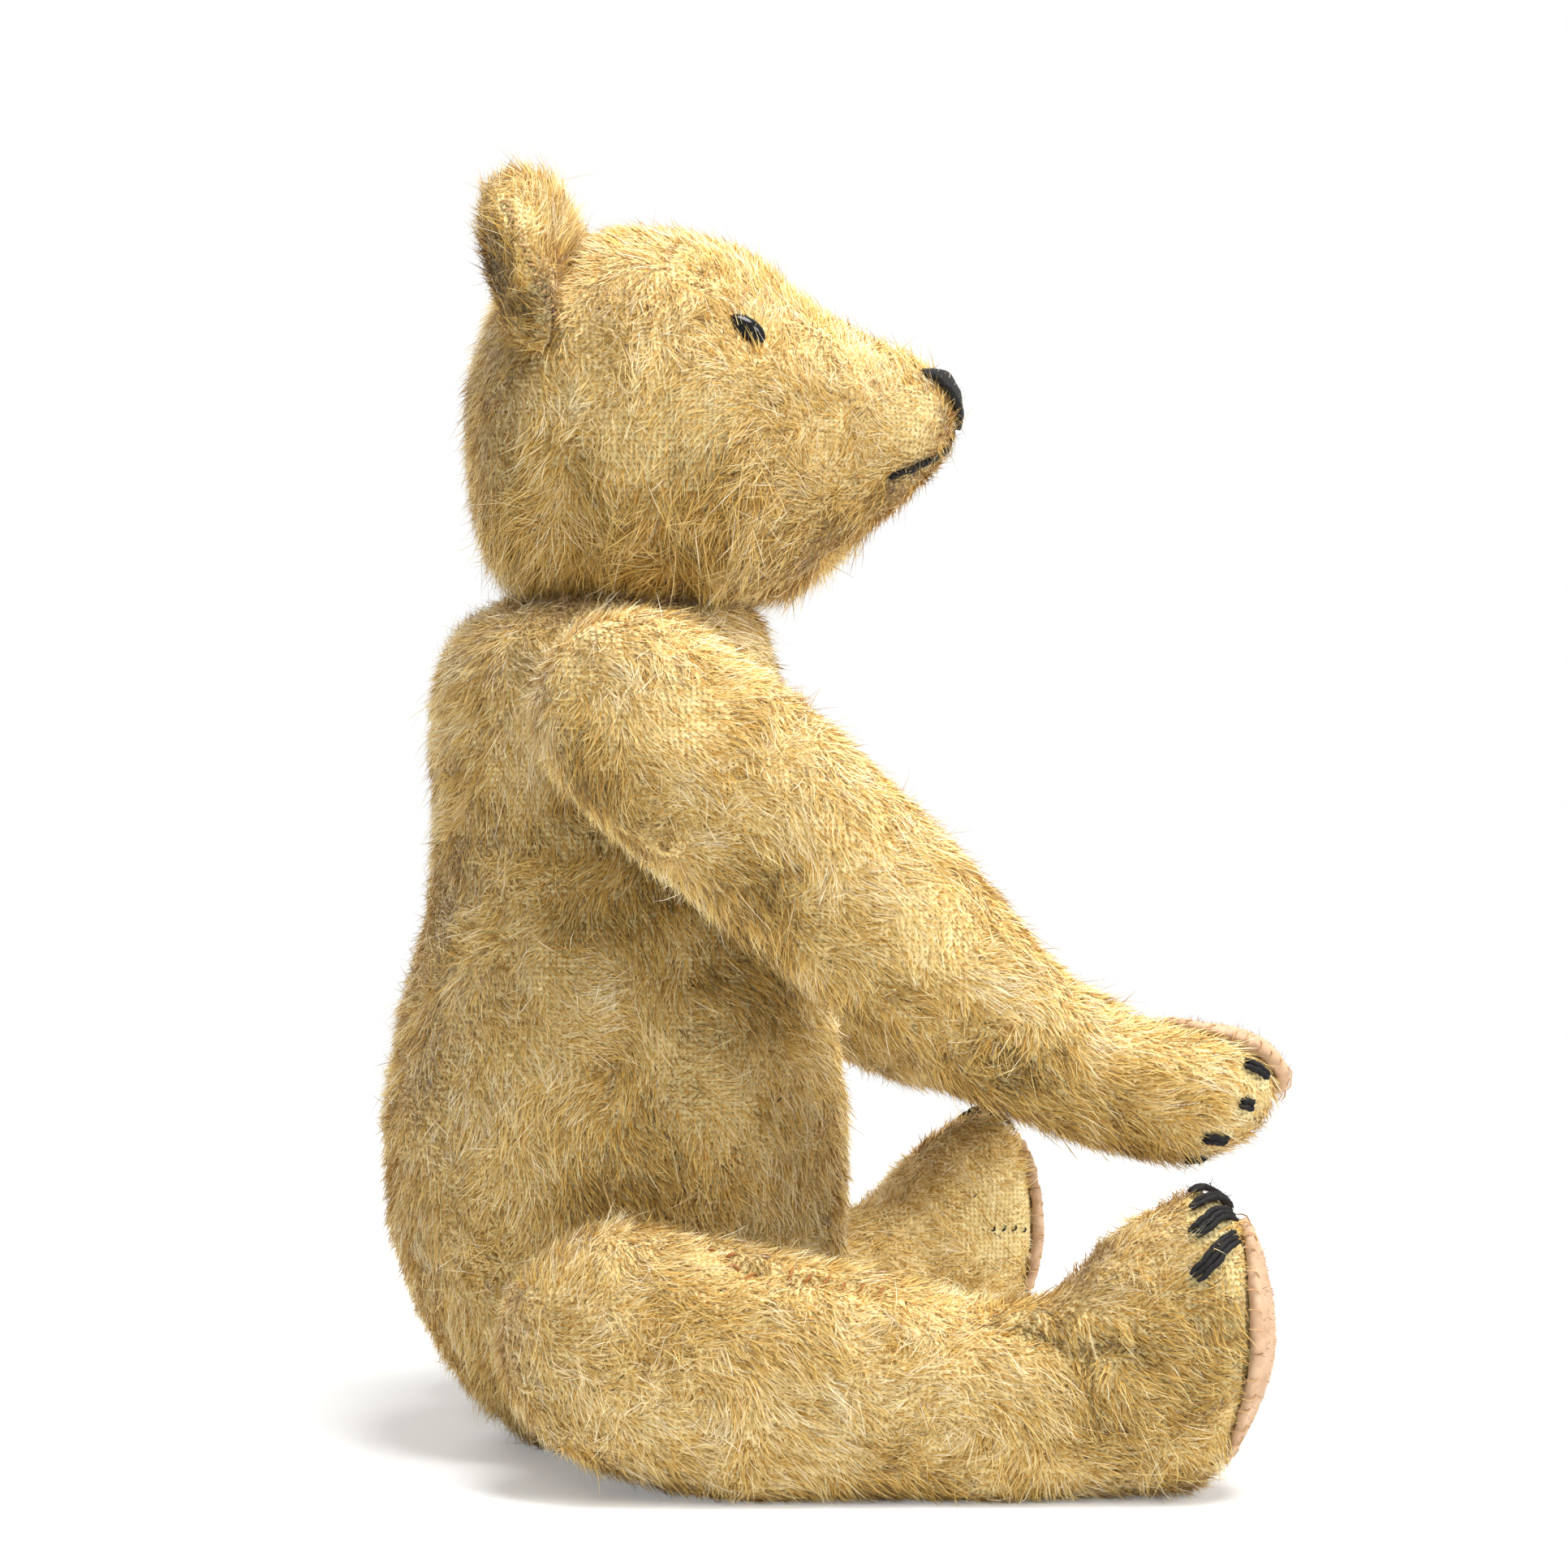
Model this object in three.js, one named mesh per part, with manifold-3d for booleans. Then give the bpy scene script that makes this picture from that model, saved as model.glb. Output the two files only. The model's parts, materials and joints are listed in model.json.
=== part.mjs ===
// A small old jointed bear, seated: stuffed mohair covers, felt pads, thread features and five disc joints.
// Millimetres, +Z up. The bear faces +X, its own left is +Y, and the origin is the middle of its flat seat.
import * as THREE from 'three';
import { mergeVertices } from 'three/addons/utils/BufferGeometryUtils.js';
import Module from 'manifold-3d';

const wasm = await Module();
wasm.setup();

// Torso
const TORSO_HEIGHT = 97;
const TORSO_DEPTH = 53;
const TORSO_WIDTH = 48;
const NECK_FORWARD = 3;

// Head, measured in its own profile
const HEAD_LENGTH = 56.4;
const HEAD_HEIGHT = 43;
const HEAD_WIDTH = 44;
const HEAD_BEHIND_NECK = 20;
const HEAD_TURN = -12;
const SKULL_ROUND = 12.5;
const MUZZLE_ROUND = 4.5;

// Ears
const EAR_HEIGHT = 12.5;
const EAR_WIDTH = 20;
const EAR_THICKNESS = 8;
const EAR_TIP_THICKNESS = 4.5;
const EAR_CUP = 2.5;
const EAR_LEAN = 14;
const EAR_SPREAD = 26;
const EAR_YAW = 20;
const EAR_ROOT = 6;
const EAR_ALONG = 0.145;
const EAR_FROM_TOP = 38;

// Face
const EYE_DIAMETER = 4.4;
const EYE_THICKNESS = 3.4;
const EYE_ALONG = 0.578;
const EYE_FROM_SIDE = 29;
const EYE_TILT = 20;
const NOSE_WIDTH = 15.6;
const NOSE_HEIGHT = 6.6;
const NOSE_DROP = 2;
const NOSE_THREAD = 0.9;
const MOUTH_THREAD = 0.9;
const MOUTH_DROP = 2.8;
const MOUTH_CORNER = 60;
const MOUTH_PARTING = 56;

// Arms
const ARM_LENGTH = 82;
const ARM_HEIGHT = 24;
const ARM_THICKNESS = 18;
const ARM_BOW = 4.2;
const SHOULDER_BACK = 2;
const SHOULDER_DROP = 13;
const SHOULDER_ROUND = 11.5;
const PAW_ROUND = 8.5;
const PAW_ABOVE_TOE = 2.2;
const ARM_OFFSET = 0.78;

// Legs
const LEG_LENGTH = 69;
const LEG_THICKNESS = 19;
const LEG_SPLAY = 12;
const THIGH_HEIGHT = 29;
const THIGH_ROUND = 13;
const ANKLE_HEIGHT = 20;
const FOOT_HEIGHT = 33;
const SOLE_ROUND = 6.5;
const HIP_BACK = 3.5;
const HIP_HEIGHT = 16.5;
const LEG_OFFSET = 0.78;
const LEG_SAG = 1.5;

// Felt pads and thread claws
const FELT = 1;
const SOLE_PAD_SHARE = 0.139;
const PALM_ALONG = 0.82;
const PALM_LENGTH = 0.115;
const PALM_MIDDLE = 100;
const PALM_WIDTH = 42;
const CLAWS = 4;
const CLAW_THREAD = 1.4;
const PAW_CLAW_END = 0.84;
const PAW_CLAW_LENGTH = 0.09;
const PAW_CLAW_FIRST = 40;
const PAW_CLAW_STEP = 35;
const FOOT_CLAW_START = 0.735;
const FOOT_CLAW_END = 0.838;
const FOOT_CLAW_FIRST = 27;
const FOOT_CLAW_STEP = 19;
const FOOT_CLAW_SLANT = 26;

// Disc joints: a pair of card discs, two washers and one split pin with its legs curled over
const NECK_DISC = 19;
const SHOULDER_DISC = 15;
const HIP_DISC = 17;
const DISC_THICKNESS = 1.2;
const WASHER_DIAMETER = 8;
const WASHER_THICKNESS = 0.6;
const PIN_DIAMETER = 1.6;
const PIN_HEAD = 4.4;
const PIN_HEAD_THICKNESS = 1;
const PIN_CURL = 1.1;
const PIN_CURL_TURN = 200;
const PIN_HEAD_EDGE = 0.6;
const PIN_HEAD_FLAT = 3;
const COVER = 1.4;
const JOINT_GAP = 0.6;
const CLEARANCE = 0.3;

// Facets, and how square a stuffed section is: 2 is an ellipse
const SQUARENESS = 2.2;
const RING_CROWDING = 0.75;
const BODY_SIDES = 24;
const LIMB_SIDES = 18;
const TORSO_RINGS = 14;
const FORM_RINGS = 16;
const EAR_SIDES = 16;
const EAR_RINGS = 8;
const EYE_SIDES = 12;
const CAP_SHARE = 0.25;
const DISC_SIDES = 12;
const WASHER_SIDES = 8;
const THREAD_SIDES = 6;
const THREAD_STEPS = 5;
const CURL_STEPS = 4;
const NOSE_STEPS = 16;
const PATCH_SIDES = 14;
const PATCH_RINGS = 3;

const radians = THREE.MathUtils.degToRad;
const lerp = THREE.MathUtils.lerp;
const SIDES_OF_THE_BEAR = { right: -1, left: 1 };

// Materials
const cloth = (colour) => new THREE.MeshStandardMaterial({ color: colour, roughness: 0.95, metalness: 0 });
const mohair = cloth(0xdcbf7d);
const felt = cloth(0xd9b896);
const thread = new THREE.MeshStandardMaterial({ color: 0x16130f, roughness: 0.6, metalness: 0 });
const button = new THREE.MeshStandardMaterial({ color: 0x0d0b0a, roughness: 0.15, metalness: 0 });
const card = cloth(0xa98b5e);
const steel = new THREE.MeshStandardMaterial({ color: 0x8d8a84, roughness: 0.45, metalness: 1 });

// Closed solids for cutting and joining
function solid(geometry, matrix = new THREE.Matrix4()) {
  const bare = geometry.clone().applyMatrix4(matrix);
  bare.deleteAttribute('normal');
  bare.deleteAttribute('uv');
  const merged = mergeVertices(bare);
  return new wasm.Manifold(new wasm.Mesh({
    numProp: 3,
    vertProperties: Float32Array.from(merged.attributes.position.array),
    triVerts: Uint32Array.from(merged.index.array),
  }));
}

function geometryOf(manifold) {
  const mesh = manifold.getMesh();
  const geometry = new THREE.BufferGeometry();
  geometry.setAttribute('position', new THREE.BufferAttribute(Float32Array.from(mesh.vertProperties), 3));
  geometry.setIndex(Array.from(mesh.triVerts));
  return geometry;
}

function surface(points, faces) {
  const geometry = new THREE.BufferGeometry();
  geometry.setFromPoints(points);
  geometry.setIndex(faces);
  return geometry;
}

function named(name, geometry, material) {
  geometry.computeVertexNormals();
  const mesh = new THREE.Mesh(geometry, material);
  mesh.name = name;
  return mesh;
}

// A smooth run of sizes through a few rows, each a place followed by the sizes there
function shaped(rows) {
  const places = rows.map((row) => row[0]);
  const sizes = rows.flatMap((row) => row.slice(1));
  const curve = new THREE.CubicInterpolant(places, sizes, rows[0].length - 1);
  return (place) => Array.from(curve.evaluate(place));
}

// Where the section at t lies on a form with two round ends, and how much the round end narrows it
function roundEnds(t, start, end, startRound, endRound, grow) {
  if (t < CAP_SHARE) {
    const turn = (t / CAP_SHARE) * (Math.PI / 2);
    return { place: start + startRound - (startRound + grow) * Math.cos(turn), narrow: Math.sin(turn) };
  }
  if (t > 1 - CAP_SHARE) {
    const turn = ((1 - t) / CAP_SHARE) * (Math.PI / 2);
    return { place: end - endRound + (endRound + grow) * Math.cos(turn), narrow: Math.sin(turn) };
  }
  const share = (t - CAP_SHARE) / (1 - 2 * CAP_SHARE);
  return { place: lerp(start + startRound, end - endRound, share), narrow: 1 };
}

// One point of a stuffed form: its section at t is a squarish oval, pressed flat where it rests
function pointOn(form, t, angle, grow = 0) {
  const section = form.section(t, grow);
  const squarish = (value) => Math.sign(value) * Math.abs(value) ** (2 / SQUARENESS);
  const point = section.centre.clone();
  point.addScaledVector(section.across, squarish(Math.cos(angle)));
  point.addScaledVector(section.up, squarish(Math.sin(angle)));
  return form.press(point, grow);
}

// The closed skin of a form, loft through its rings with a fan on each end
function loft(form, grow = 0) {
  const points = [];
  const faces = [];
  const first = form.flatEnds ? 0 : 1;
  const last = form.flatEnds ? form.rings : form.rings - 1;
  for (let ring = first; ring <= last; ring += 1) {
    for (let side = 0; side < form.sides; side += 1) {
      points.push(pointOn(form, ring / form.rings, (side / form.sides) * 2 * Math.PI, grow));
    }
  }
  const rows = last - first + 1;
  for (let row = 0; row < rows - 1; row += 1) {
    for (let side = 0; side < form.sides; side += 1) {
      const next = (side + 1) % form.sides;
      const low = row * form.sides;
      const high = low + form.sides;
      faces.push(low + side, low + next, high + next, low + side, high + next, high + side);
    }
  }
  const startPole = points.push(form.press(form.section(0, grow).centre.clone(), grow)) - 1;
  const endPole = points.push(form.press(form.section(1, grow).centre.clone(), grow)) - 1;
  const top = (rows - 1) * form.sides;
  for (let side = 0; side < form.sides; side += 1) {
    const next = (side + 1) % form.sides;
    faces.push(startPole, next, side, endPole, top + side, top + next);
  }
  return turnedOut(surface(points, faces));
}

// Faces point out, whichever side of the bear the form was made for
function turnedOut(geometry) {
  const corner = geometry.attributes.position;
  const index = geometry.index.array;
  let volume = 0;
  const [a, b, c] = [new THREE.Vector3(), new THREE.Vector3(), new THREE.Vector3()];
  for (let face = 0; face < index.length; face += 3) {
    a.fromBufferAttribute(corner, index[face]);
    b.fromBufferAttribute(corner, index[face + 1]);
    c.fromBufferAttribute(corner, index[face + 2]);
    volume += a.dot(b.cross(c));
  }
  if (volume < 0) {
    geometry.setIndex(Array.from(index).reverse());
  }
  return geometry;
}

// A thin piece that lies on a form: at(r, turn, grow) gives a point from its middle, r = 0, to its rim, r = 1
function layer(at, inner, outer) {
  const points = [at(0, 0, outer), at(0, 0, inner)];
  const faces = [];
  const ringStart = (ring, level) => 2 + (2 * (ring - 1) + level) * PATCH_SIDES;
  for (let ring = 1; ring <= PATCH_RINGS; ring += 1) {
    for (const grow of [outer, inner]) {
      for (let side = 0; side < PATCH_SIDES; side += 1) {
        points.push(at(ring / PATCH_RINGS, (side / PATCH_SIDES) * 2 * Math.PI, grow));
      }
    }
  }
  for (let side = 0; side < PATCH_SIDES; side += 1) {
    const next = (side + 1) % PATCH_SIDES;
    faces.push(0, ringStart(1, 0) + side, ringStart(1, 0) + next);
    faces.push(1, ringStart(1, 1) + next, ringStart(1, 1) + side);
    for (let ring = 1; ring < PATCH_RINGS; ring += 1) {
      const [low, high] = [ringStart(ring, 0), ringStart(ring + 1, 0)];
      faces.push(low + side, high + side, high + next, low + side, high + next, low + next);
      const [under, rim] = [ringStart(ring, 1), ringStart(ring + 1, 1)];
      faces.push(under + side, rim + next, rim + side, under + side, under + next, rim + next);
    }
    const [edge, edgeUnder] = [ringStart(PATCH_RINGS, 0), ringStart(PATCH_RINGS, 1)];
    faces.push(edge + side, edgeUnder + side, edgeUnder + next, edge + side, edgeUnder + next, edge + next);
  }
  return turnedOut(surface(points, faces));
}

// A felt pad that follows the form under it, with its underside shaped by that form
function pad(name, form, at) {
  const under = solid(loft(form, CLEARANCE));
  return named(name, geometryOf(solid(layer(at, -FELT, CLEARANCE + FELT)).subtract(under)), felt);
}

// A round cord of thread along a curve
function cordAlong(curve, diameter, steps) {
  const round = new THREE.Shape();
  round.absarc(0, 0, diameter / 2, 0, 2 * Math.PI);
  const geometry = new THREE.ExtrudeGeometry(round, {
    steps,
    extrudePath: curve,
    curveSegments: THREAD_SIDES / 2,
  });
  return geometry;
}

// A solid of revolution about +Z from a profile of [radius, height] that starts and ends on the axis
function turned(profile, sides) {
  const points = profile.map(([radius, height]) => new THREE.Vector2(radius, height));
  return new THREE.LatheGeometry(points, sides).rotateX(Math.PI / 2);
}

// A flat ring about +Z between two heights
function flatRing(outer, inner, low, high, sides) {
  return turned([[inner, low], [outer, low], [outer, high], [inner, high], [inner, low]], sides);
}

// Torso: share of the height, then the back, the front and the half width as shares of depth and width
const torsoSizes = shaped([
  [0, 0.18, 0.18, 0.22],
  [0.03, 0.25, 0.26, 0.31],
  [0.09, 0.35, 0.37, 0.425],
  [0.18, 0.45, 0.47, 0.475],
  [0.31, 0.5, 0.5, 0.495],
  [0.42, 0.495, 0.495, 0.5],
  [0.55, 0.44, 0.455, 0.49],
  [0.68, 0.385, 0.405, 0.475],
  [0.79, 0.39, 0.375, 0.47],
  [0.88, 0.4, 0.35, 0.46],
  [0.95, 0.365, 0.325, 0.415],
  [0.985, 0.29, 0.305, 0.32],
  [1, 0.225, 0.285, 0.27],
]);
const torsoHalfWidth = (height) => torsoSizes(height / TORSO_HEIGHT)[2] * TORSO_WIDTH;
const QUARTERS = [0, 0.25, 0.5, 0.75, 1];
const widestTorso = (low, high) => {
  const widths = QUARTERS.map((share) => torsoHalfWidth(lerp(low, high, share)));
  return Math.max(...widths);
};

const torsoForm = {
  sides: BODY_SIDES,
  rings: TORSO_RINGS,
  flatEnds: true,
  section(t) {
    const share = t - (RING_CROWDING * Math.sin(2 * Math.PI * t)) / (2 * Math.PI);
    const [back, front, halfWidth] = torsoSizes(share);
    return {
      centre: new THREE.Vector3(((front - back) / 2) * TORSO_DEPTH, 0, share * TORSO_HEIGHT),
      across: new THREE.Vector3(((front + back) / 2) * TORSO_DEPTH, 0, 0),
      up: new THREE.Vector3(0, halfWidth * TORSO_WIDTH, 0),
    };
  },
  press: (point) => point,
};

// Head, from the middle of the neck: share of the length, then chin line, crown line and half width
const headSizes = shaped([
  [0.22, -0.08, 0.95, 0.455],
  [0.31, -0.1, 1, 0.5],
  [0.42, -0.1, 1, 0.5],
  [0.55, -0.07, 0.945, 0.45],
  [0.65, 0.015, 0.85, 0.37],
  [0.76, 0.145, 0.745, 0.29],
  [0.86, 0.245, 0.69, 0.24],
  [0.93, 0.32, 0.65, 0.205],
  [1, 0.385, 0.635, 0.19],
]);
const headForm = {
  sides: BODY_SIDES,
  rings: FORM_RINGS,
  section(t, grow) {
    const { place, narrow } = roundEnds(t, 0, HEAD_LENGTH, SKULL_ROUND, MUZZLE_ROUND, grow);
    const [chin, crown, halfWidth] = headSizes(place / HEAD_LENGTH);
    const middle = ((chin + crown) / 2) * HEAD_HEIGHT;
    const halfHeight = ((crown - chin) / 2) * HEAD_HEIGHT + grow;
    return {
      centre: new THREE.Vector3(place - HEAD_BEHIND_NECK, 0, middle),
      across: new THREE.Vector3(0, (halfWidth * HEAD_WIDTH + grow) * narrow, 0),
      up: new THREE.Vector3(0, 0, halfHeight * narrow),
    };
  },
  press(point, grow) {
    point.z = Math.max(point.z, JOINT_GAP / 2 - grow);
    return point;
  },
};

// Arm, from the shoulder pivot: share of its length, then rise, half height, half thickness and bow
const armSizes = shaped([
  [0, -0.01, 0.46, 0.49, 0],
  [0.24, -0.018, 0.5, 0.51, 0.2],
  [0.36, -0.027, 0.467, 0.5, 0.4],
  [0.53, -0.043, 0.404, 0.465, 0.6],
  [0.69, -0.052, 0.338, 0.42, 0.8],
  [0.79, -0.03, 0.315, 0.4, 0.95],
  [0.89, 0.016, 0.33, 0.405, 1],
  [1, 0.058, 0.33, 0.405, 1],
]);

function armForm(side) {
  return {
    sides: LIMB_SIDES,
    rings: FORM_RINGS,
    section(t, grow) {
      const { place, narrow } = roundEnds(t, -SHOULDER_ROUND, ARM_LENGTH, SHOULDER_ROUND, PAW_ROUND, grow);
      const [rise, halfHeight, halfThickness, bow] = armSizes(place / ARM_LENGTH);
      const seat = (armSizes(0)[2] * ARM_THICKNESS) * ARM_OFFSET;
      return {
        centre: new THREE.Vector3(place, side * (JOINT_GAP / 2 + seat + bow * ARM_BOW), rise * ARM_LENGTH),
        across: new THREE.Vector3(0, side * (halfThickness * ARM_THICKNESS + grow) * narrow, 0),
        up: new THREE.Vector3(0, 0, (halfHeight * ARM_HEIGHT + grow) * narrow),
      };
    },
    press(point, grow) {
      point.y = side * Math.max(side * point.y, JOINT_GAP / 2 - grow);
      return point;
    },
  };
}

// Leg, from the hip pivot: underside and top above the ground, and the half thickness as a share
const legSizes = shaped([
  [-THIGH_ROUND, 0.17 * THIGH_HEIGHT, 0.93 * THIGH_HEIGHT, 0.5],
  [0, 0.07 * THIGH_HEIGHT, THIGH_HEIGHT, 0.5],
  [LEG_LENGTH * 0.15, -0.67 * LEG_SAG, lerp(THIGH_HEIGHT, ANKLE_HEIGHT, 0.2), 0.5],
  [LEG_LENGTH * 0.4, -LEG_SAG, lerp(THIGH_HEIGHT, ANKLE_HEIGHT, 0.6), 0.48],
  [LEG_LENGTH * 0.64, -LEG_SAG, ANKLE_HEIGHT, 0.44],
  [LEG_LENGTH * 0.74, -LEG_SAG, lerp(ANKLE_HEIGHT, FOOT_HEIGHT, 0.3), 0.44],
  [LEG_LENGTH * 0.8, -LEG_SAG, lerp(ANKLE_HEIGHT, FOOT_HEIGHT, 0.72), 0.455],
  [LEG_LENGTH - SOLE_ROUND, -0.67 * LEG_SAG, FOOT_HEIGHT, 0.47],
  [LEG_LENGTH, 0.03 * FOOT_HEIGHT, 0.97 * FOOT_HEIGHT, 0.47],
]);

function legForm(side) {
  return {
    sides: LIMB_SIDES,
    rings: FORM_RINGS,
    section(t, grow) {
      const { place, narrow } = roundEnds(t, -THIGH_ROUND, LEG_LENGTH, THIGH_ROUND, SOLE_ROUND, grow);
      const [under, top, halfThickness] = legSizes(place);
      const seat = (LEG_THICKNESS / 2) * LEG_OFFSET;
      return {
        centre: new THREE.Vector3(place, side * (JOINT_GAP / 2 + seat), (under + top) / 2 - HIP_HEIGHT),
        across: new THREE.Vector3(0, side * (halfThickness * LEG_THICKNESS + grow) * narrow, 0),
        up: new THREE.Vector3(0, 0, ((top - under) / 2 + grow) * narrow),
      };
    },
    press(point, grow) {
      point.y = side * Math.max(side * point.y, JOINT_GAP / 2 - grow);
      point.z = Math.max(point.z, -HIP_HEIGHT);
      return point;
    },
  };
}

// Joint stack along +Z, from the seam between two covers: the limb side is above, the torso side below
const discBottom = JOINT_GAP / 2 + COVER + CLEARANCE;
const discTop = discBottom + DISC_THICKNESS;
const washerBottom = discTop + CLEARANCE;
const washerTop = washerBottom + WASHER_THICKNESS;
const pinSeat = washerTop + CLEARANCE;
const curlDepth = pinSeat + 2 * PIN_CURL + PIN_DIAMETER / 2;
const pinBore = PIN_DIAMETER / 2 + CLEARANCE;

function splitPin() {
  const shank = turned([
    [0, -pinSeat - PIN_CURL],
    [PIN_DIAMETER / 2, -pinSeat - PIN_CURL],
    [PIN_DIAMETER / 2, pinSeat],
    [PIN_HEAD / 2, pinSeat],
    [PIN_HEAD / 2, pinSeat + PIN_HEAD_EDGE],
    [PIN_HEAD_FLAT / 2, pinSeat + PIN_HEAD_THICKNESS],
    [0, pinSeat + PIN_HEAD_THICKNESS],
  ], WASHER_SIDES);
  let pin = solid(shank);
  for (const way of [-1, 1]) {
    const curl = Array.from({ length: CURL_STEPS + 1 }, (_, step) => {
      const turn = (step / CURL_STEPS) * radians(PIN_CURL_TURN);
      const reach = PIN_DIAMETER / 4 + PIN_CURL * (1 - Math.cos(turn));
      return new THREE.Vector3(way * reach, 0, -pinSeat - PIN_CURL * (1 + Math.sin(turn)));
    });
    const leg = cordAlong(new THREE.CatmullRomCurve3(curl), PIN_DIAMETER / 2, CURL_STEPS);
    pin = pin.add(solid(leg));
  }
  return geometryOf(pin);
}

// The hollow that a disc, its washer and the pin's end fill inside a cover, opening through the pin's bore
function pocket(discDiameter, way, end) {
  const disc = discDiameter / 2 + CLEARANCE;
  const washer = WASHER_DIAMETER / 2 + CLEARANCE;
  const profile = [
    [0, -JOINT_GAP],
    [pinBore, -JOINT_GAP],
    [pinBore, discBottom - CLEARANCE],
    [disc, discBottom - CLEARANCE],
    [disc, discTop + CLEARANCE],
    [washer, discTop + CLEARANCE],
    [washer, end + CLEARANCE],
    [0, end + CLEARANCE],
  ];
  const geometry = turned(profile, DISC_SIDES);
  return way > 0 ? geometry : geometry.rotateX(Math.PI);
}

function jointStack(name, discDiameter) {
  const disc = (low, high) => flatRing(discDiameter / 2, pinBore, low, high, DISC_SIDES);
  const washer = (low, high) => flatRing(WASHER_DIAMETER / 2, pinBore, low, high, WASHER_SIDES);
  return {
    limbSide: [
      named(`${name}_outer_disc`, disc(discBottom, discTop), card),
      named(`${name}_outer_washer`, washer(washerBottom, washerTop), steel),
    ],
    torsoSide: [
      named(`${name}_inner_disc`, disc(-discTop, -discBottom), card),
      named(`${name}_inner_washer`, washer(-washerTop, -washerBottom), steel),
      named(`${name}_split_pin`, splitPin(), steel),
    ],
  };
}

// Joint places: where the axis crosses the seam, and the way from the torso out into the limb
const shoulderHeight = TORSO_HEIGHT - SHOULDER_DROP;
const armHalfHeight = ARM_HEIGHT / 2;
const shoulderSeam = widestTorso(shoulderHeight - armHalfHeight, shoulderHeight) + JOINT_GAP;
const hipSeam = widestTorso(0, THIGH_HEIGHT) + JOINT_GAP;
const UP = new THREE.Vector3(0, 0, 1);

function jointFrame(place, outward) {
  const group = new THREE.Group();
  group.position.copy(place);
  group.quaternion.setFromUnitVectors(UP, outward);
  group.updateMatrix();
  return group;
}

// Legs point forward and outward, so their axes lean back from square by the splay
function hipOutward(side) {
  const splay = radians(LEG_SPLAY);
  return new THREE.Vector3(-Math.sin(splay), side * Math.cos(splay), 0);
}

const neck = {
  name: 'neck',
  disc: NECK_DISC,
  place: new THREE.Vector3(NECK_FORWARD, 0, TORSO_HEIGHT + JOINT_GAP / 2),
  outward: UP,
};
const shoulders = {};
const hips = {};
for (const [word, side] of Object.entries(SIDES_OF_THE_BEAR)) {
  shoulders[word] = {
    name: `shoulder_${word}`,
    disc: SHOULDER_DISC,
    place: new THREE.Vector3(-SHOULDER_BACK, side * shoulderSeam, shoulderHeight),
    outward: new THREE.Vector3(0, side, 0),
  };
  hips[word] = {
    name: `hip_${word}`,
    disc: HIP_DISC,
    place: new THREE.Vector3(-HIP_BACK, side * hipSeam, HIP_HEIGHT),
    outward: hipOutward(side),
  };
}

// The torso cover is stretched flat over each limb disc, and hollowed for the discs, washers and pins
function torsoCover() {
  let cover = solid(loft(torsoForm));
  const limbs = [...Object.values(shoulders), ...Object.values(hips)];
  for (const joint of limbs) {
    const rim = joint.disc / 2 + COVER + CLEARANCE;
    const depth = curlDepth + COVER;
    const boss = turned([
      [0, -depth],
      [rim - COVER, -depth],
      [rim, -discTop],
      [rim, -JOINT_GAP],
      [rim - COVER / 2, -JOINT_GAP / 2],
      [0, -JOINT_GAP / 2],
    ], DISC_SIDES);
    cover = cover.add(solid(boss, jointFrame(joint.place, joint.outward).matrix));
  }
  for (const joint of [neck, ...limbs]) {
    const hollow = pocket(joint.disc, -1, curlDepth);
    cover = cover.subtract(solid(hollow, jointFrame(joint.place, joint.outward).matrix));
  }
  return named('torso', geometryOf(cover), mohair);
}

// A limb or head cover in its own frame, hollowed for its disc, washer and pin head
function stuffedCover(name, form, joint, outward) {
  const hollow = pocket(joint.disc, 1, pinSeat + PIN_HEAD_THICKNESS);
  const cover = solid(loft(form)).subtract(solid(hollow, jointFrame(new THREE.Vector3(), outward).matrix));
  return named(name, geometryOf(cover), mohair);
}

// Where on the head's length a feature lies
function headAt(share) {
  const place = share * HEAD_LENGTH;
  if (place < SKULL_ROUND) {
    return (CAP_SHARE * Math.acos((SKULL_ROUND - place) / SKULL_ROUND)) / (Math.PI / 2);
  }
  if (place > HEAD_LENGTH - MUZZLE_ROUND) {
    return 1 - (CAP_SHARE * Math.acos((place - HEAD_LENGTH + MUZZLE_ROUND) / MUZZLE_ROUND)) / (Math.PI / 2);
  }
  const middle = (place - SKULL_ROUND) / (HEAD_LENGTH - SKULL_ROUND - MUZZLE_ROUND);
  return CAP_SHARE + middle * (1 - 2 * CAP_SHARE);
}

function ear(word, side, skull) {
  const form = {
    sides: EAR_SIDES,
    rings: EAR_RINGS,
    flatEnds: true,
    section(t) {
      const height = lerp(-EAR_ROOT, EAR_HEIGHT, Math.sin((t * Math.PI) / 2));
      const rounding = Math.sqrt(1 - Math.max(height / (EAR_HEIGHT + CLEARANCE), 0) ** 2);
      return {
        centre: new THREE.Vector3(0, 0, height),
        across: new THREE.Vector3(lerp(EAR_TIP_THICKNESS, EAR_THICKNESS, rounding) / 2, 0, 0),
        up: new THREE.Vector3(0, (EAR_WIDTH / 2) * rounding, 0),
      };
    },
    press(point) {
      point.x += EAR_CUP * ((2 * point.y) / EAR_WIDTH) ** 2;
      return point;
    },
  };
  const turns = [-side * EAR_SPREAD, -EAR_LEAN, side * EAR_YAW].map(radians);
  const lean = new THREE.Euler(...turns, 'YXZ');
  const root = pointOn(headForm, headAt(EAR_ALONG), Math.PI / 2 - side * radians(EAR_FROM_TOP));
  const matrix = new THREE.Matrix4().makeRotationFromEuler(lean).setPosition(root);
  const shell = solid(loft(form), matrix).subtract(skull);
  return named(`ear_${word}`, geometryOf(shell), mohair);
}

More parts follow.
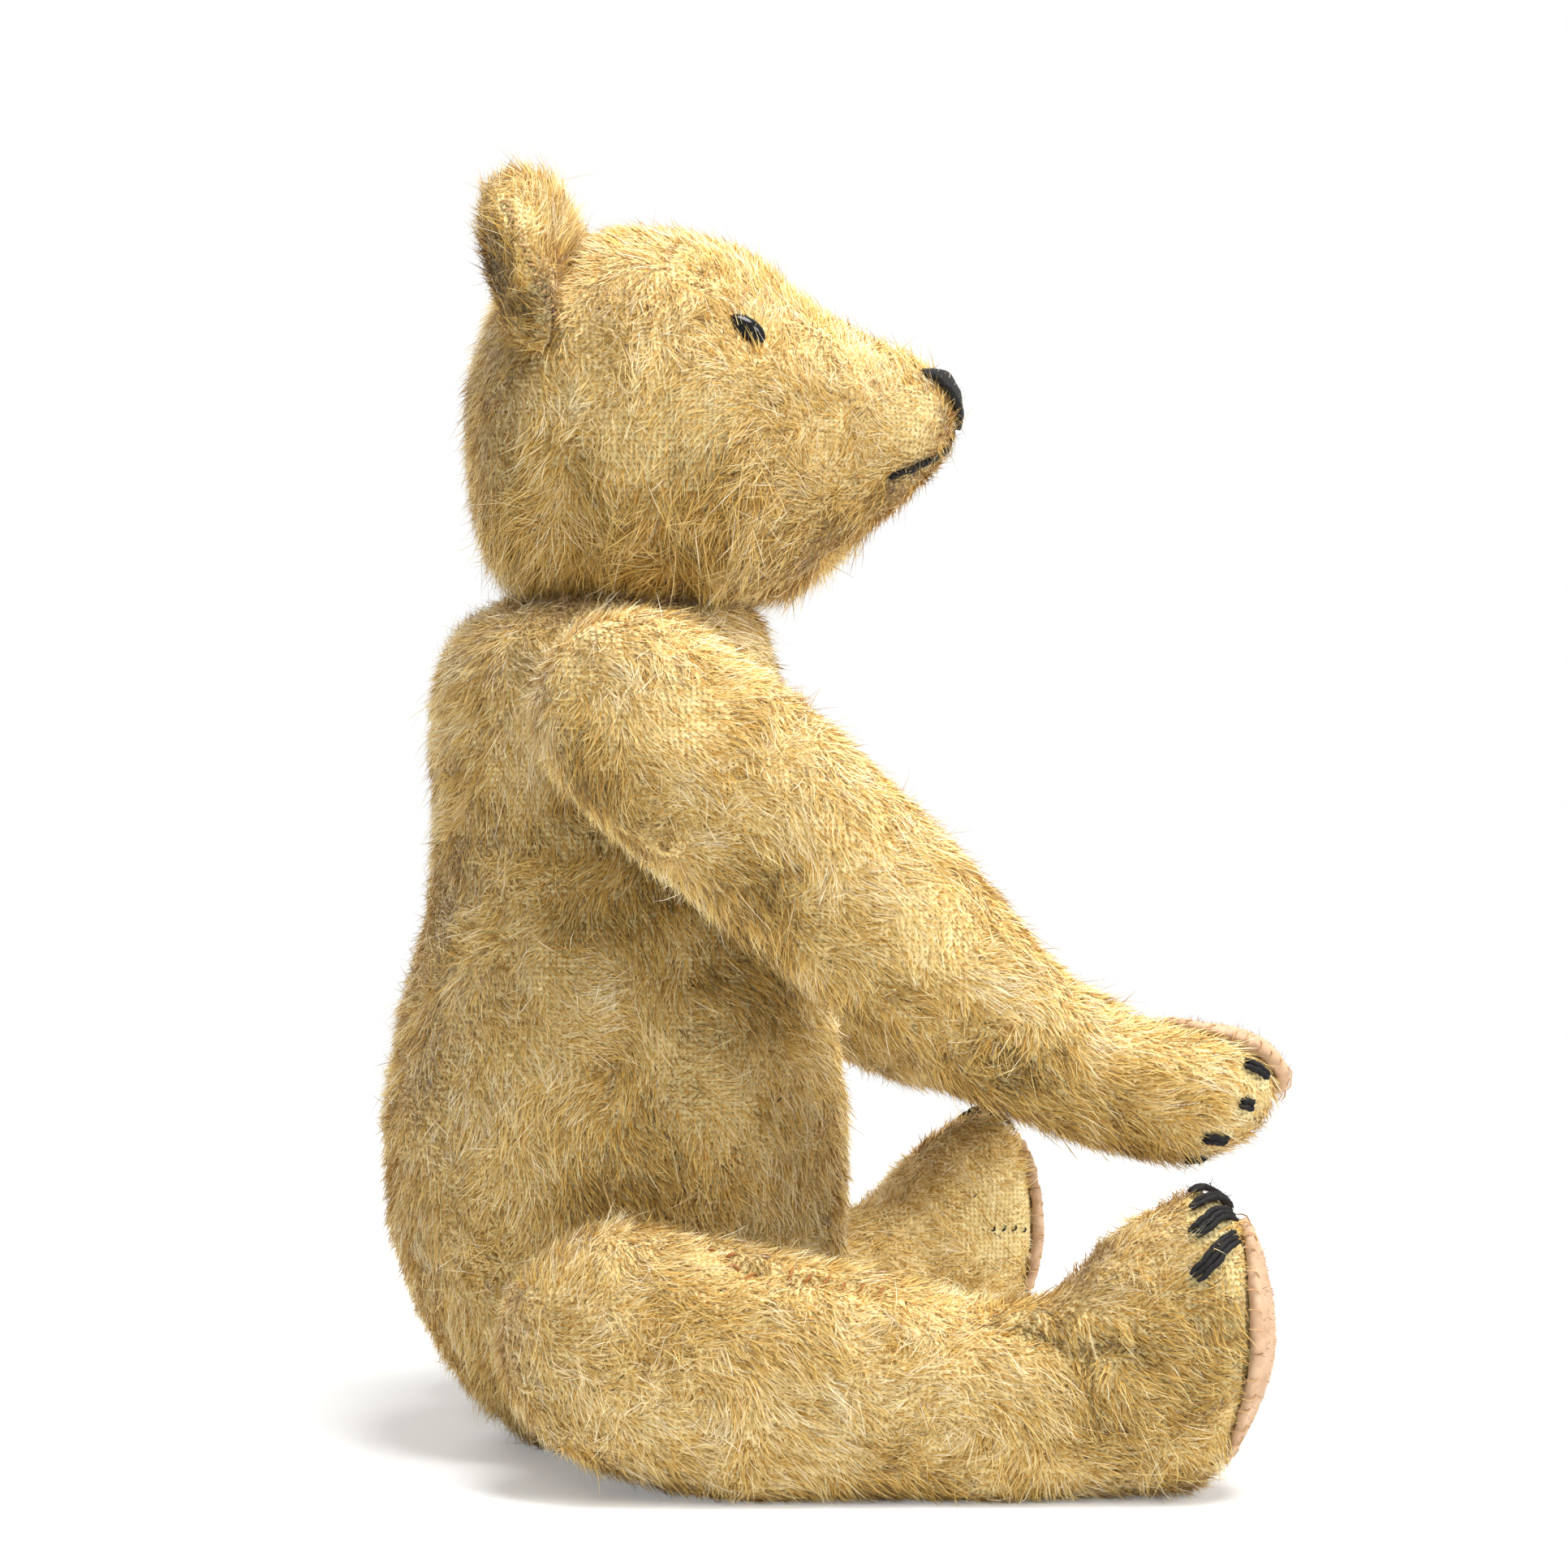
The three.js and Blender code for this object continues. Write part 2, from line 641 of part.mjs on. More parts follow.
function eye(word, side, skull) {
  const round = new THREE.SphereGeometry(EYE_DIAMETER / 2, EYE_SIDES, EYE_SIDES / 2);
  round.scale(1, EYE_THICKNESS / EYE_DIAMETER, 1);
  const angle = side > 0 ? radians(EYE_FROM_SIDE) : Math.PI - radians(EYE_FROM_SIDE);
  const socket = pointOn(headForm, headAt(EYE_ALONG), angle, CLEARANCE);
  const matrix = new THREE.Matrix4().makeRotationX(side * radians(EYE_TILT)).setPosition(socket);
  return named(`eye_${word}`, geometryOf(solid(round, matrix).subtract(skull)), button);
}

// Outline of the nose, as shares of its half width and of its height from the top
const NOSE_OUTLINE = [
  [0, 1], [-0.38, 0.78], [-0.85, 0.32], [-0.92, 0.08], [-0.75, 0],
  [0, -0.02],
  [0.75, 0], [0.92, 0.08], [0.85, 0.32], [0.38, 0.78], [0, 1],
];

// The nose is a satin-stitched triangle laid over the tip of the muzzle
function nose(skull) {
  const tip = headForm.section(1, 0).centre;
  const top = tip.z - NOSE_DROP + NOSE_HEIGHT;
  const half = NOSE_WIDTH / 2;
  const outline = new THREE.SplineCurve(NOSE_OUTLINE.map(([across, drop]) => {
    return new THREE.Vector2(across * half, top - drop * NOSE_HEIGHT);
  }));
  const triangle = new THREE.Shape(outline.getPoints(NOSE_STEPS));
  const prism = new THREE.ExtrudeGeometry(triangle, { depth: NOSE_WIDTH, bevelEnabled: false });
  const facing = new THREE.Matrix4().makeBasis(new THREE.Vector3(0, 1, 0), UP, new THREE.Vector3(1, 0, 0));
  facing.setPosition(tip.x - NOSE_HEIGHT, 0, 0);
  const stitched = solid(loft(headForm, CLEARANCE + NOSE_THREAD));
  const satin = solid(prism, facing).intersect(stitched).subtract(skull);
  return named('nose_stitching', geometryOf(satin), thread);
}

// Places of one mouth branch along the head, from its corner to the parting
const MOUTH_ALONG = [0.872, 0.905, 0.938];

// The mouth is a short drop of thread under the nose that parts into two curved branches
function mouth(skull) {
  const lift = CLEARANCE + MOUTH_THREAD / 2;
  const below = -Math.PI / 2;
  const [chin, crown] = headSizes(1);
  const tipHalfHeight = ((crown - chin) / 2) * HEAD_HEIGHT + lift;
  const onTip = (depth) => 1 - (CAP_SHARE * Math.asin(depth / tipHalfHeight)) / (Math.PI / 2);
  const start = pointOn(headForm, onTip(NOSE_DROP + CLEARANCE + MOUTH_THREAD), below, lift);
  const middle = pointOn(headForm, onTip(NOSE_DROP + MOUTH_DROP), below, lift);
  const branches = [-1, 1].map((side) => MOUTH_ALONG.map((share, step) => {
    const turn = radians(lerp(MOUTH_CORNER, MOUTH_PARTING, step / (MOUTH_ALONG.length - 1)));
    return pointOn(headForm, headAt(share), below + side * turn, lift);
  }));
  const smile = new THREE.CatmullRomCurve3([...branches[0], middle, ...branches[1].reverse()]);
  const smileCord = solid(cordAlong(smile, MOUTH_THREAD, 2 * THREAD_STEPS));
  const dropCord = solid(cordAlong(new THREE.LineCurve3(start, middle), MOUTH_THREAD, 1));
  return named('mouth_stitching', geometryOf(smileCord.add(dropCord).subtract(skull)), thread);
}

function headGroup() {
  const group = new THREE.Group();
  const stack = jointStack(neck.name, neck.disc);
  const skull = solid(loft(headForm, CLEARANCE));
  group.add(stuffedCover('head', headForm, neck, UP), ...stack.limbSide, nose(skull), mouth(skull));
  for (const [word, side] of Object.entries(SIDES_OF_THE_BEAR)) {
    group.add(ear(word, side, skull), eye(word, side, skull));
  }
  group.position.copy(neck.place);
  group.rotation.z = radians(HEAD_TURN);
  return { group, stack };
}

// One claw: a bar of thread laid on a form from one place to another
function claw(name, form, from, to) {
  const lift = CLEARANCE + CLAW_THREAD / 2;
  const stops = Array.from({ length: THREAD_STEPS }, (_, step) => {
    const share = step / (THREAD_STEPS - 1);
    return pointOn(form, lerp(from.t, to.t, share), lerp(from.angle, to.angle, share), lift);
  });
  return named(name, cordAlong(new THREE.CatmullRomCurve3(stops), CLAW_THREAD, THREAD_STEPS), thread);
}

// Some claws are worn to a stub: the share of each that is left, from the top of the paw down
const PAW_CLAWS_LEFT = { right: [0.8, 0.4, 0.6, 0.45], left: [1, 1, 0.8, 1] };

function armGroup(word, side) {
  const group = new THREE.Group();
  const joint = shoulders[word];
  const form = armForm(side);
  const outward = new THREE.Vector3(0, side, 0);
  const stack = jointStack(joint.name, joint.disc);
  const palm = (r, turn, grow) => {
    const along = PALM_ALONG + PALM_LENGTH * r * Math.cos(turn);
    return pointOn(form, along, radians(PALM_MIDDLE + PALM_WIDTH * r * Math.sin(turn)), grow);
  };
  group.add(stuffedCover(`arm_${word}`, form, joint, outward));
  group.add(pad(`paw_pad_${word}`, form, palm));
  for (let count = 0; count < CLAWS; count += 1) {
    const angle = radians(PAW_CLAW_FIRST - PAW_CLAW_STEP * count);
    const from = { t: PAW_CLAW_END - PAW_CLAW_LENGTH * PAW_CLAWS_LEFT[word][count], angle };
    group.add(claw(`paw_claw_${word}_${count + 1}`, form, from, { t: PAW_CLAW_END, angle }));
  }
  const turn = jointFrame(new THREE.Vector3(), outward);
  turn.add(...stack.limbSide);
  group.add(turn);
  group.position.copy(joint.place);
  group.rotation.y = -armPitch();
  return { group, stack };
}

// The arm hangs forward until the underside of the paw is just clear of the toes
function armPitch() {
  const form = armForm(1);
  const under = pointOn(form, 1 - CAP_SHARE, -Math.PI / 2);
  const drop = FOOT_HEIGHT + PAW_ABOVE_TOE - shoulderHeight;
  return Math.asin(drop / Math.hypot(under.x, under.z)) - Math.atan2(under.z, under.x);
}

function legGroup(word, side) {
  const group = new THREE.Group();
  const joint = hips[word];
  const form = legForm(side);
  const outward = new THREE.Vector3(0, side, 0);
  const stack = jointStack(joint.name, joint.disc);
  const sole = (r, turn, grow) => pointOn(form, 1 - SOLE_PAD_SHARE * r, turn, grow);
  group.add(stuffedCover(`leg_${word}`, form, joint, outward));
  group.add(pad(`foot_pad_${word}`, form, sole));
  for (let count = 0; count < CLAWS; count += 1) {
    const angle = radians(FOOT_CLAW_FIRST + FOOT_CLAW_STEP * count);
    const from = { t: FOOT_CLAW_START, angle };
    const to = { t: FOOT_CLAW_END, angle: angle + radians(FOOT_CLAW_SLANT) };
    group.add(claw(`foot_claw_${word}_${count + 1}`, form, from, to));
  }
  const turn = jointFrame(new THREE.Vector3(), outward);
  turn.add(...stack.limbSide);
  group.add(turn);
  group.position.copy(joint.place);
  group.rotation.z = side * radians(LEG_SPLAY);
  return { group, stack };
}

const bear = new THREE.Group();
bear.add(torsoCover());

const placed = [[headGroup(), neck]];
for (const [word, side] of Object.entries(SIDES_OF_THE_BEAR)) {
  placed.push([armGroup(word, side), shoulders[word]], [legGroup(word, side), hips[word]]);
}
for (const [{ group, stack }, joint] of placed) {
  const inside = jointFrame(joint.place, joint.outward);
  inside.add(...stack.torsoSide);
  bear.add(group, inside);
}

export default bear;
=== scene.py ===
import json
import math

import bmesh
import bpy
import numpy as np
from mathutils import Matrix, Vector
from mathutils.bvhtree import BVHTree
from mathutils.kdtree import KDTree


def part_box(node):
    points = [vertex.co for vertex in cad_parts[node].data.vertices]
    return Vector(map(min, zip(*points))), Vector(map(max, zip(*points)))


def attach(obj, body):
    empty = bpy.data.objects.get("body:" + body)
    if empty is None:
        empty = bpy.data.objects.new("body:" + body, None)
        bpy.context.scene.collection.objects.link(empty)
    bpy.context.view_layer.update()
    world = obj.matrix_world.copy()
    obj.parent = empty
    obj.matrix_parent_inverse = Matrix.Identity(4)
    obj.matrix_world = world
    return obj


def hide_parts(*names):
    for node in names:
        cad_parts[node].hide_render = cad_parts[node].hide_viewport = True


# A small threadbare jointed bear: worn mohair pile on woven cloth, felt pads, black thread and button eyes.
# Sizes are in millimetres until a mesh is written, which is in metres.
MM = 0.001
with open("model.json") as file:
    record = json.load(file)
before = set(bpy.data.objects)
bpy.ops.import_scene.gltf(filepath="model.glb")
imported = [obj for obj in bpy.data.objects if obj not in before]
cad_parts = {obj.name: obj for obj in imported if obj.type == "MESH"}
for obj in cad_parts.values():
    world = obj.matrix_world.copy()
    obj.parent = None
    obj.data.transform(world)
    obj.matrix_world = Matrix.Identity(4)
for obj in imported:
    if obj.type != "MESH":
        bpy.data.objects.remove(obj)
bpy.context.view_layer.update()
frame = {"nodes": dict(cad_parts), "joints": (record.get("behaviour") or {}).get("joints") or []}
rng = np.random.default_rng(1907)

SKIN_VOXEL = 0.9
SKIN_SMOOTHING = 14
LUMP_HEIGHT = 0.35
LUMP_WIDTH = 8.0
GROUND_CLEAR = 0.12
HEEL_TUCK = 2.6
HEEL_TOP = 17.0
HEEL_REACH = (44.0, 58.0)
WEAVE_PITCH = 0.62

# The pile: strands to the square millimetre, their size, how steeply they stand (radians), how tangled and
# how pale they are, how many straight runs bend each one, and the share that is gone where the bear is worn
PILE = {
    "underfur": {
        "per_mm2": 8.2, "length": 1.8, "width": 0.17, "lift": 0.7,
        "tangle": 1.2, "pale": 0.61, "segments": 1, "thinning": 0.8,
    },
    "hair": {
        "per_mm2": 2.2, "length": 2.7, "width": 0.11, "lift": 0.65,
        "tangle": 1.1, "pale": 0.74, "segments": 2, "thinning": 0.75,
    },
    "wisps": {
        "per_mm2": 0.45, "length": 3.5, "width": 0.1, "lift": 0.5,
        "tangle": 1.6, "pale": 0.95, "segments": 3, "thinning": 0.4,
    },
}
CLUMP_SIZE = 9
CLUMP_PULL = 0.55

HEAD_TURN = math.radians(-12)
FACING = np.array([math.cos(HEAD_TURN), math.sin(HEAD_TURN), 0.0])
DOWN = np.array([0.0, 0.0, -1.0])
SIDES = {"right": -1, "left": 1}
COVERS = {
    "torso": "torso",
    "head": "head",
    "ear_right": "head",
    "ear_left": "head",
    "arm_right": "arm_right",
    "arm_left": "arm_left",
    "leg_right": "leg_right",
    "leg_left": "leg_left",
}
JOINTS = {joint["name"]: joint for joint in frame["joints"]}
NECK = 1000 * np.array(JOINTS["neck"]["pos_m"])

# Bare places: middle, radius, and how much of the pile has gone
WORN = {
    "head": [
        ((2.4, -21.9, 114.2), 8.5, 0.62),
        ((32.6, -15.6, 117.3), 4.5, 0.85),
        ((37.0, -8.0, 123.5), 4.0, 0.7),
        ((34.0, -3.0, 114.0), 5.0, 0.7),
        ((8.0, 19.0, 117.0), 9.0, 0.6),
    ],
    "torso": [
        ((6.2, -23.3, 43.4), 9.5, 0.55),
        ((23.0, 0.0, 48.0), 10.0, 0.5),
        ((-22.0, 9.0, 60.0), 9.0, 0.45),
    ],
    "arm_right": [
        ((0.6, -39.2, 83.4), 5.0, 0.6),
        ((27.5, -41.1, 61.0), 7.5, 0.55),
        ((65.0, -38.0, 41.0), 6.0, 0.6),
    ],
    "arm_left": [((30.0, 41.0, 60.0), 8.0, 0.6), ((65.0, 38.0, 41.0), 6.0, 0.6)],
    "leg_right": [
        ((4.4, -38.5, 25.5), 4.0, 0.8),
        ((59.5, -50.5, 24.0), 6.5, 0.85),
        ((59.0, -51.0, 12.0), 6.0, 0.8),
    ],
    "leg_left": [((56.5, 37.5, 18.5), 8.5, 0.9), ((57.0, 50.0, 20.0), 6.0, 0.7)],
    "ear_right": [((-14.0, -18.0, 140.0), 3.0, 0.6)],
    "ear_left": [],
}

# Ground-in grime, with painted shade under the arms, along their undersides, low on the torso, at the lower
# back of the head and beside the ear seam: middle, radius and depth of colour
GRIME_AND_SHADE_SPOTS = {
    "head": [
        ((-11.4, -13.9, 104.7), 13.0, 0.5),
        ((-13.0, -15.0, 127.0), 6.0, 0.75),
        ((0.0, -16.0, 103.0), 11.0, 0.4),
        ((4.0, -21.0, 113.0), 8.0, 0.3),
    ],
    "torso": [
        ((-3.0, -22.0, 66.0), 14.0, 0.75),
        ((10.0, -22.0, 56.0), 13.0, 0.65),
        ((0.0, -24.0, 35.0), 16.0, 0.35),
        ((0.0, 0.0, 0.0), 30.0, 0.45),
    ],
    "arm_right": [
        ((-9.0, -37.0, 74.0), 8.0, 0.6),
        ((7.0, -36.0, 61.0), 9.0, 0.6),
        ((20.0, -37.0, 52.0), 8.0, 0.4),
        ((34.0, -37.0, 44.0), 9.0, 0.55),
        ((48.0, -37.0, 38.0), 7.0, 0.5),
        ((64.0, -38.0, 38.0), 5.0, 0.45),
    ],
    "arm_left": [((7.0, 35.0, 62.0), 9.0, 0.5), ((60.0, 36.0, 37.0), 6.0, 0.5)],
    "leg_right": [
        ((22.0, -42.0, 0.0), 9.0, 0.5),
        ((48.0, -52.0, 12.0), 10.0, 0.6),
        ((56.0, -53.0, 18.0), 9.0, 0.7),
        ((38.0, -46.0, 19.0), 5.0, 0.45),
    ],
    "leg_left": [
        ((22.0, 42.0, 0.0), 9.0, 0.55),
        ((50.0, 42.0, 4.0), 9.0, 0.5),
        ((36.0, 36.0, 19.0), 6.0, 0.4),
        ((53.0, 36.0, 16.0), 8.0, 0.3),
    ],
    "ear_right": [((-17.0, -15.0, 133.0), 7.0, 0.75), ((-12.0, -18.0, 128.0), 5.0, 0.85)],
    "ear_left": [((-9.0, 17.0, 131.0), 6.0, 0.8)],
}

# Longer locks: middle, radius and how much longer
LONG = {
    "head": [
        ((13.0, -18.0, 105.0), 11.0, 0.8),
        ((13.0, 16.0, 105.0), 11.0, 0.8),
        ((2.0, -19.0, 100.0), 9.0, 0.7),
        ((-12.0, -11.0, 100.0), 9.0, 0.6),
        ((-14.0, 6.0, 100.0), 9.0, 0.6),
        ((0.0, 19.0, 100.0), 9.0, 0.7),
        ((22.0, -4.0, 101.0), 9.0, 0.6),
    ],
    "ear_right": [((-8.0, -12.0, 140.0), 7.0, 0.4)],
}

# Creases pulled into the cloth, where the pile is shorter and darkened as painted shade: the points along
# each, its width and depth
THIGH_SEAM = (
    (1.0, -30.0, 28.2),
    (2.8, -32.6, 27.9),
    (7.4, -39.6, 25.2),
    (14.1, -41.2, 23.8),
    (21.3, -42.4, 22.4),
)
EAR_SEAM = ((-15.2, -17.6, 140.6), (-13.6, -19.0, 136.0), (-11.8, -18.4, 131.5), (-9.5, -15.5, 128.5))
MOUTH = (
    (29.3, -13.9, 111.1),
    (31.3, -13.4, 111.8),
    (33.0, -12.8, 112.6),
    (34.9, -11.7, 113.5),
    (37.0, -9.9, 114.6),
    (38.6, -7.6, 115.4),
)
LIP = ((38.6, -7.6, 115.2), (39.0, -7.7, 116.4), (39.2, -7.7, 117.8))
FOOT_CRACK = ((60.5, 38.0, 17.5), (56.0, 36.9, 17.9))
CREASES = {
    "leg_right": [
        (THIGH_SEAM, 2.0, 1.6),
        (((36.0, -46.5, 18.5), (40.0, -49.5, 17.2), (46.0, -51.5, 16.8)), 2.2, 1.0),
    ],
    "leg_left": [(FOOT_CRACK, 1.0, 0.8)],
    "ear_right": [(EAR_SEAM, 1.3, 0.5)],
    "head": [
        (((13.6, -18.6, 126.3), (16.0, -17.5, 126.4), (18.6, -15.9, 126.9)), 1.2, 0.6),
        (MOUTH, 1.3, 0.2),
        (LIP, 1.2, 0.1),
    ],
}

# Sewn and stuck details: claws, button eyes, fluff caught under a paw, specks, the rise of a stitch
CLAW_POINTS = 12
CLAW_THREAD = 0.36
CLAW_RISE = 0.7
CLAW_PARTING = 1.2
PAW_STITCHES = 22
SOLE_STITCHES = 34
EYE_HALF = (2.45, 1.25, 1.4)
EYE_SLANT = math.radians(-32)
EYE_PLACE = np.array([11.6, -18.75, 126.9])
FLUFF_STRANDS = 70
FLUFF = ((56.0, -38.3, 35.6), (60.0, -38.0, 35.2))
SPECKS = {"leg_right": (37.7, -41.3, 20.5), "torso": (14.0, -20.9, 40.6), "leg_left": (52.5, 36.8, 22.1)}
STITCH_ARCH = ((-0.6, -0.3), (-0.35, 0.25), (0.0, 0.4), (0.35, 0.25), (0.6, -0.3))


class Field:
    """One shader value. Sums, differences and products with it add the nodes that work them out."""

    def __init__(self, tree, socket):
        self.tree = tree
        self.socket = socket

    def joined(self, operation, first, second):
        node = self.tree.nodes.new("ShaderNodeMath")
        node.operation = operation
        plug(self.tree, node.inputs[0], first)
        plug(self.tree, node.inputs[1], second)
        return Field(self.tree, node.outputs[0])

    def __add__(self, other):
        return self.joined("ADD", self, other)

    __radd__ = __add__

    def __sub__(self, other):
        return self.joined("SUBTRACT", self, other)

    def __rsub__(self, other):
        return self.joined("SUBTRACT", other, self)

    def __mul__(self, other):
        return self.joined("MULTIPLY", self, other)

    __rmul__ = __mul__


def plug(tree, slot, value):
    if isinstance(value, Field):
        tree.links.new(value.socket, slot)
    else:
        slot.default_value = value


class Finish:
    """A procedural material round one principled shader."""

    def __init__(self, name):
        self.material = bpy.data.materials.new(name)
        self.material.use_nodes = True
        self.tree = self.material.node_tree
        self.shader = self.tree.nodes["Principled BSDF"]

    def node(self, kind, output, inputs=None, stops=(), **settings):
        made = self.tree.nodes.new("ShaderNode" + kind)
        for name, value in settings.items():
            setattr(made, name, value)
        for slot, value in (inputs or {}).items():
            plug(self.tree, made.inputs[slot], value)
        for count, (place, colour) in enumerate(stops):
            ramp = made.color_ramp.elements
            element = ramp[count] if count < 2 else ramp.new(place)
            element.position = place
            element.color = colour
        return Field(self.tree, made.outputs[output])

    def blend(self, factor, first, second):
        return self.node("Mix", 2, {0: factor, 6: first, 7: second}, data_type="RGBA")

    def noise(self, scale, detail=3.0):
        place = self.node("TexCoord", "Object")
        return self.node("TexNoise", 0, {"Vector": place, "Scale": scale, "Detail": detail})

    def shade(self, **inputs):
        for name, value in inputs.items():
            plug(self.tree, self.shader.inputs[name.replace("_", " ")], value)

    def raised(self, height, strength, distance):
        values = {"Height": height, "Strength": strength, "Distance": distance}
        self.shade(Normal=self.node("Bump", "Normal", values))


def colour(red, green, blue):
    """A colour written as it looks on a screen, 0 to 255."""
    def linear(value):
        share = value / 255
        return share / 12.92 if share <= 0.04045 else ((share + 0.055) / 1.055) ** 2.4
    return (linear(red), linear(green), linear(blue), 1.0)


def mohair_finish():
    finish = Finish("mohair_pile")
    place = finish.node("UVMap", "UV", uv_map="OFBake")
    tint = finish.node("SeparateXYZ", "X", {0: place})
    along = finish.node("SeparateXYZ", "Y", {0: place})
    palette = finish.node("ValToRGB", "Color", {0: tint}, stops=[
        (0.0, colour(92, 76, 40)),
        (1.0, colour(255, 252, 232)),
        (0.2, colour(154, 126, 62)),
        (0.4, colour(216, 180, 94)),
        (0.6, colour(247, 221, 141)),
        (0.8, colour(254, 242, 192)),
    ])
    # Each strand darkens towards its root: painted shade deep in the pile.
    shade = {0: 1.0, 6: palette, 7: colour(198, 164, 92)}
    shaded_root = finish.node("Mix", 2, shade, data_type="RGBA", blend_type="MULTIPLY")
    finish.shade(Base_Color=finish.blend(along, shaded_root, palette), Roughness=0.72 - 0.2 * along)
    finish.shade(Specular_IOR_Level=0.3, Sheen_Weight=0.25, Sheen_Roughness=0.4)
    return finish.material


def backing_finish():
    """The woven cloth under the pile: pale threads with dark gaps, and ground-in grime with painted shade.
    """
    finish = Finish("woven_backing")
    place = finish.node("UVMap", "UV", uv_map="Weave")
    turn = math.pi / WEAVE_PITCH
    uneven = finish.noise(420.0)
    wander = finish.noise(260.0)
    rows = []
    for axis in ("X", "Y"):
        run = finish.node("SeparateXYZ", axis, {0: place}) * turn + 5.0 * wander
        wave = finish.node("Math", 0, {0: run}, operation="SINE")
        rows.append(wave * wave)
    gap = finish.node("Math", 0, {0: rows[0] * rows[1], 1: 2.2}, operation="POWER")
    threads = finish.blend(uneven, colour(204, 174, 102), colour(248, 232, 176))
    woven = finish.blend(gap * (0.4 + 0.8 * uneven), threads, colour(128, 94, 42))
    soil_and_shade = finish.node("Attribute", "Fac", attribute_name="soil_and_shade")
    soiled_and_shaded = finish.blend(soil_and_shade * 0.75, woven, colour(96, 82, 48))
    finish.shade(Base_Color=soiled_and_shaded, Roughness=0.85 + 0.1 * uneven)
    finish.raised((rows[0] + rows[1]) * 0.5 + 0.3 * uneven, 0.5, 0.0004)
    return finish.material


def plain_finish(name, light, dark, rough, scale, depth, **constants):
    """A finish whose colour, roughness and surface all vary with one noise."""
    finish = Finish(name)
    uneven = finish.noise(scale)
    smooth, coarse = rough
    finish.shade(Base_Color=finish.blend(uneven, dark, light), Roughness=smooth + (coarse - smooth) * uneven)
    finish.raised(uneven, 0.4, depth)
    finish.shade(**constants)
    return finish.material


MOHAIR = mohair_finish()
BACKING = backing_finish()
FELT = plain_finish("worn_felt", colour(216, 186, 152), colour(158, 120, 90), (0.85, 0.98), 320.0, 0.0006)
THREAD = plain_finish(
    "black_thread", colour(30, 27, 26), colour(6, 5, 5), (0.6, 0.85), 1500.0, 0.0003, Specular_IOR_Level=0.25
)
PAD_THREAD = plain_finish(
    "pad_thread", colour(206, 168, 118), colour(150, 108, 66), (0.7, 0.9), 1500.0, 0.0002
)
SEAM_THREAD = plain_finish(
    "seam_thread", colour(186, 122, 58), colour(120, 72, 30), (0.6, 0.8), 1500.0, 0.0002
)
BUTTON = plain_finish(
    "button_black", colour(14, 12, 11), colour(5, 4, 4), (0.08, 0.2), 300.0, 0.00002, Specular_IOR_Level=0.22
)
CARD = plain_finish("pressed_card", colour(184, 152, 104), colour(146, 116, 74), (0.8, 0.95), 500.0, 0.0002)
STEEL = plain_finish(
    "dull_steel", colour(150, 146, 138), colour(104, 96, 86), (0.35, 0.6), 700.0, 0.00005, Metallic=1.0
)


def smooth_step(low, high, value):
    share = np.clip((value - low) / (high - low), 0, 1)
    return share * share * (3 - 2 * share)


def unit(vectors):
    return vectors / np.maximum(np.linalg.norm(vectors, axis=-1, keepdims=True), 1e-9)


class Drift:
    """Smooth random values that change over a given distance."""

    SIZE = 24

    def __init__(self, distance, channels):
        self.distance = distance
        self.grid = rng.uniform(-1, 1, (self.SIZE,) * 3 + (channels,))

    def __call__(self, points):
        cell = points / self.distance
        base = np.floor(cell).astype(int)
        share = cell - base
        share = share * share * (3 - 2 * share)
        total = 0
        for corner in np.ndindex(2, 2, 2):
            x, y, z = ((base + corner) % self.SIZE).T
            weight = np.where(corner, share, 1 - share).prod(axis=1)
            total = total + weight[:, None] * self.grid[x, y, z]
        return total


lumps = Drift(LUMP_WIDTH, 1)
thin_patches = Drift(7.0, 1)
fine_patches = Drift(2.2, 1)
dirt_patches = Drift(11.0, 1)
swirls = Drift(6.0, 3)
tufts = Drift(2.4, 3)
tones = Drift(3.2, 1)


def spots(table, part, points):
    """How strongly each point lies in the part's listed places, 0 to 1."""
    total = np.zeros(len(points))
    for middle, radius, strength in table.get(part, []):
        away = np.linalg.norm(points - np.array(middle), axis=1)
        total = np.maximum(total, strength * smooth_step(radius * 1.25, radius * 0.35, away))
    return total


def worn(part, points):
    ragged = 0.25 * thin_patches(points)[:, 0] + 0.2 * fine_patches(points)[:, 0]
    everywhere = smooth_step(0.1, 0.75, 0.15 + ragged * 1.6) * 0.5
    here = spots(WORN, part, points)
    return np.clip(np.maximum(everywhere, here * (1 + 1.2 * ragged)), 0, 1)


# Darkening of the pile and the cloth: grime in random patches, and grime with painted shade in the listed
# places.
def grime_and_shade(part, points):
    patchy = 0.5 + 0.5 * dirt_patches(points)[:, 0]
    stains_and_shade = spots(GRIME_AND_SHADE_SPOTS, part, points) * (0.6 + 0.6 * patchy)
    return np.clip(stains_and_shade + 0.22 * smooth_step(0.55, 0.95, patchy), 0, 1)


def away_from(line, points):
    """How far each point is from a line through these corners."""
    corners = np.array(line)
    nearest = np.full(len(points), np.inf)
    for start, end in zip(corners[:-1], corners[1:]):
        run = end - start
        share = np.clip((points - start) @ run / (run @ run), 0, 1)
        nearest = np.minimum(nearest, np.linalg.norm(points - start - share[:, None] * run, axis=1))
    return nearest


def crease_share(part, points):
    """Nearness to the part's creases, 1 on the line, and how deep the cloth goes in."""
    near = np.zeros(len(points))
    depth = np.zeros(len(points))
    for line, width, deep in CREASES.get(part, []):
        close = np.clip(1 - away_from(line, points) / width, 0, 1)
        near = np.maximum(near, close)
        depth = np.maximum(depth, deep * close * close)
    return near, depth


def only(obj):
    bpy.ops.object.select_all(action="DESELECT")
    obj.select_set(True)
    bpy.context.view_layer.objects.active = obj
    return obj


def modified(obj, kind, **settings):
    only(obj)
    modifier = obj.modifiers.new(kind.lower(), kind)
    for name, value in settings.items():
        setattr(modifier, name, value)
    bpy.ops.object.modifier_apply(modifier=modifier.name)


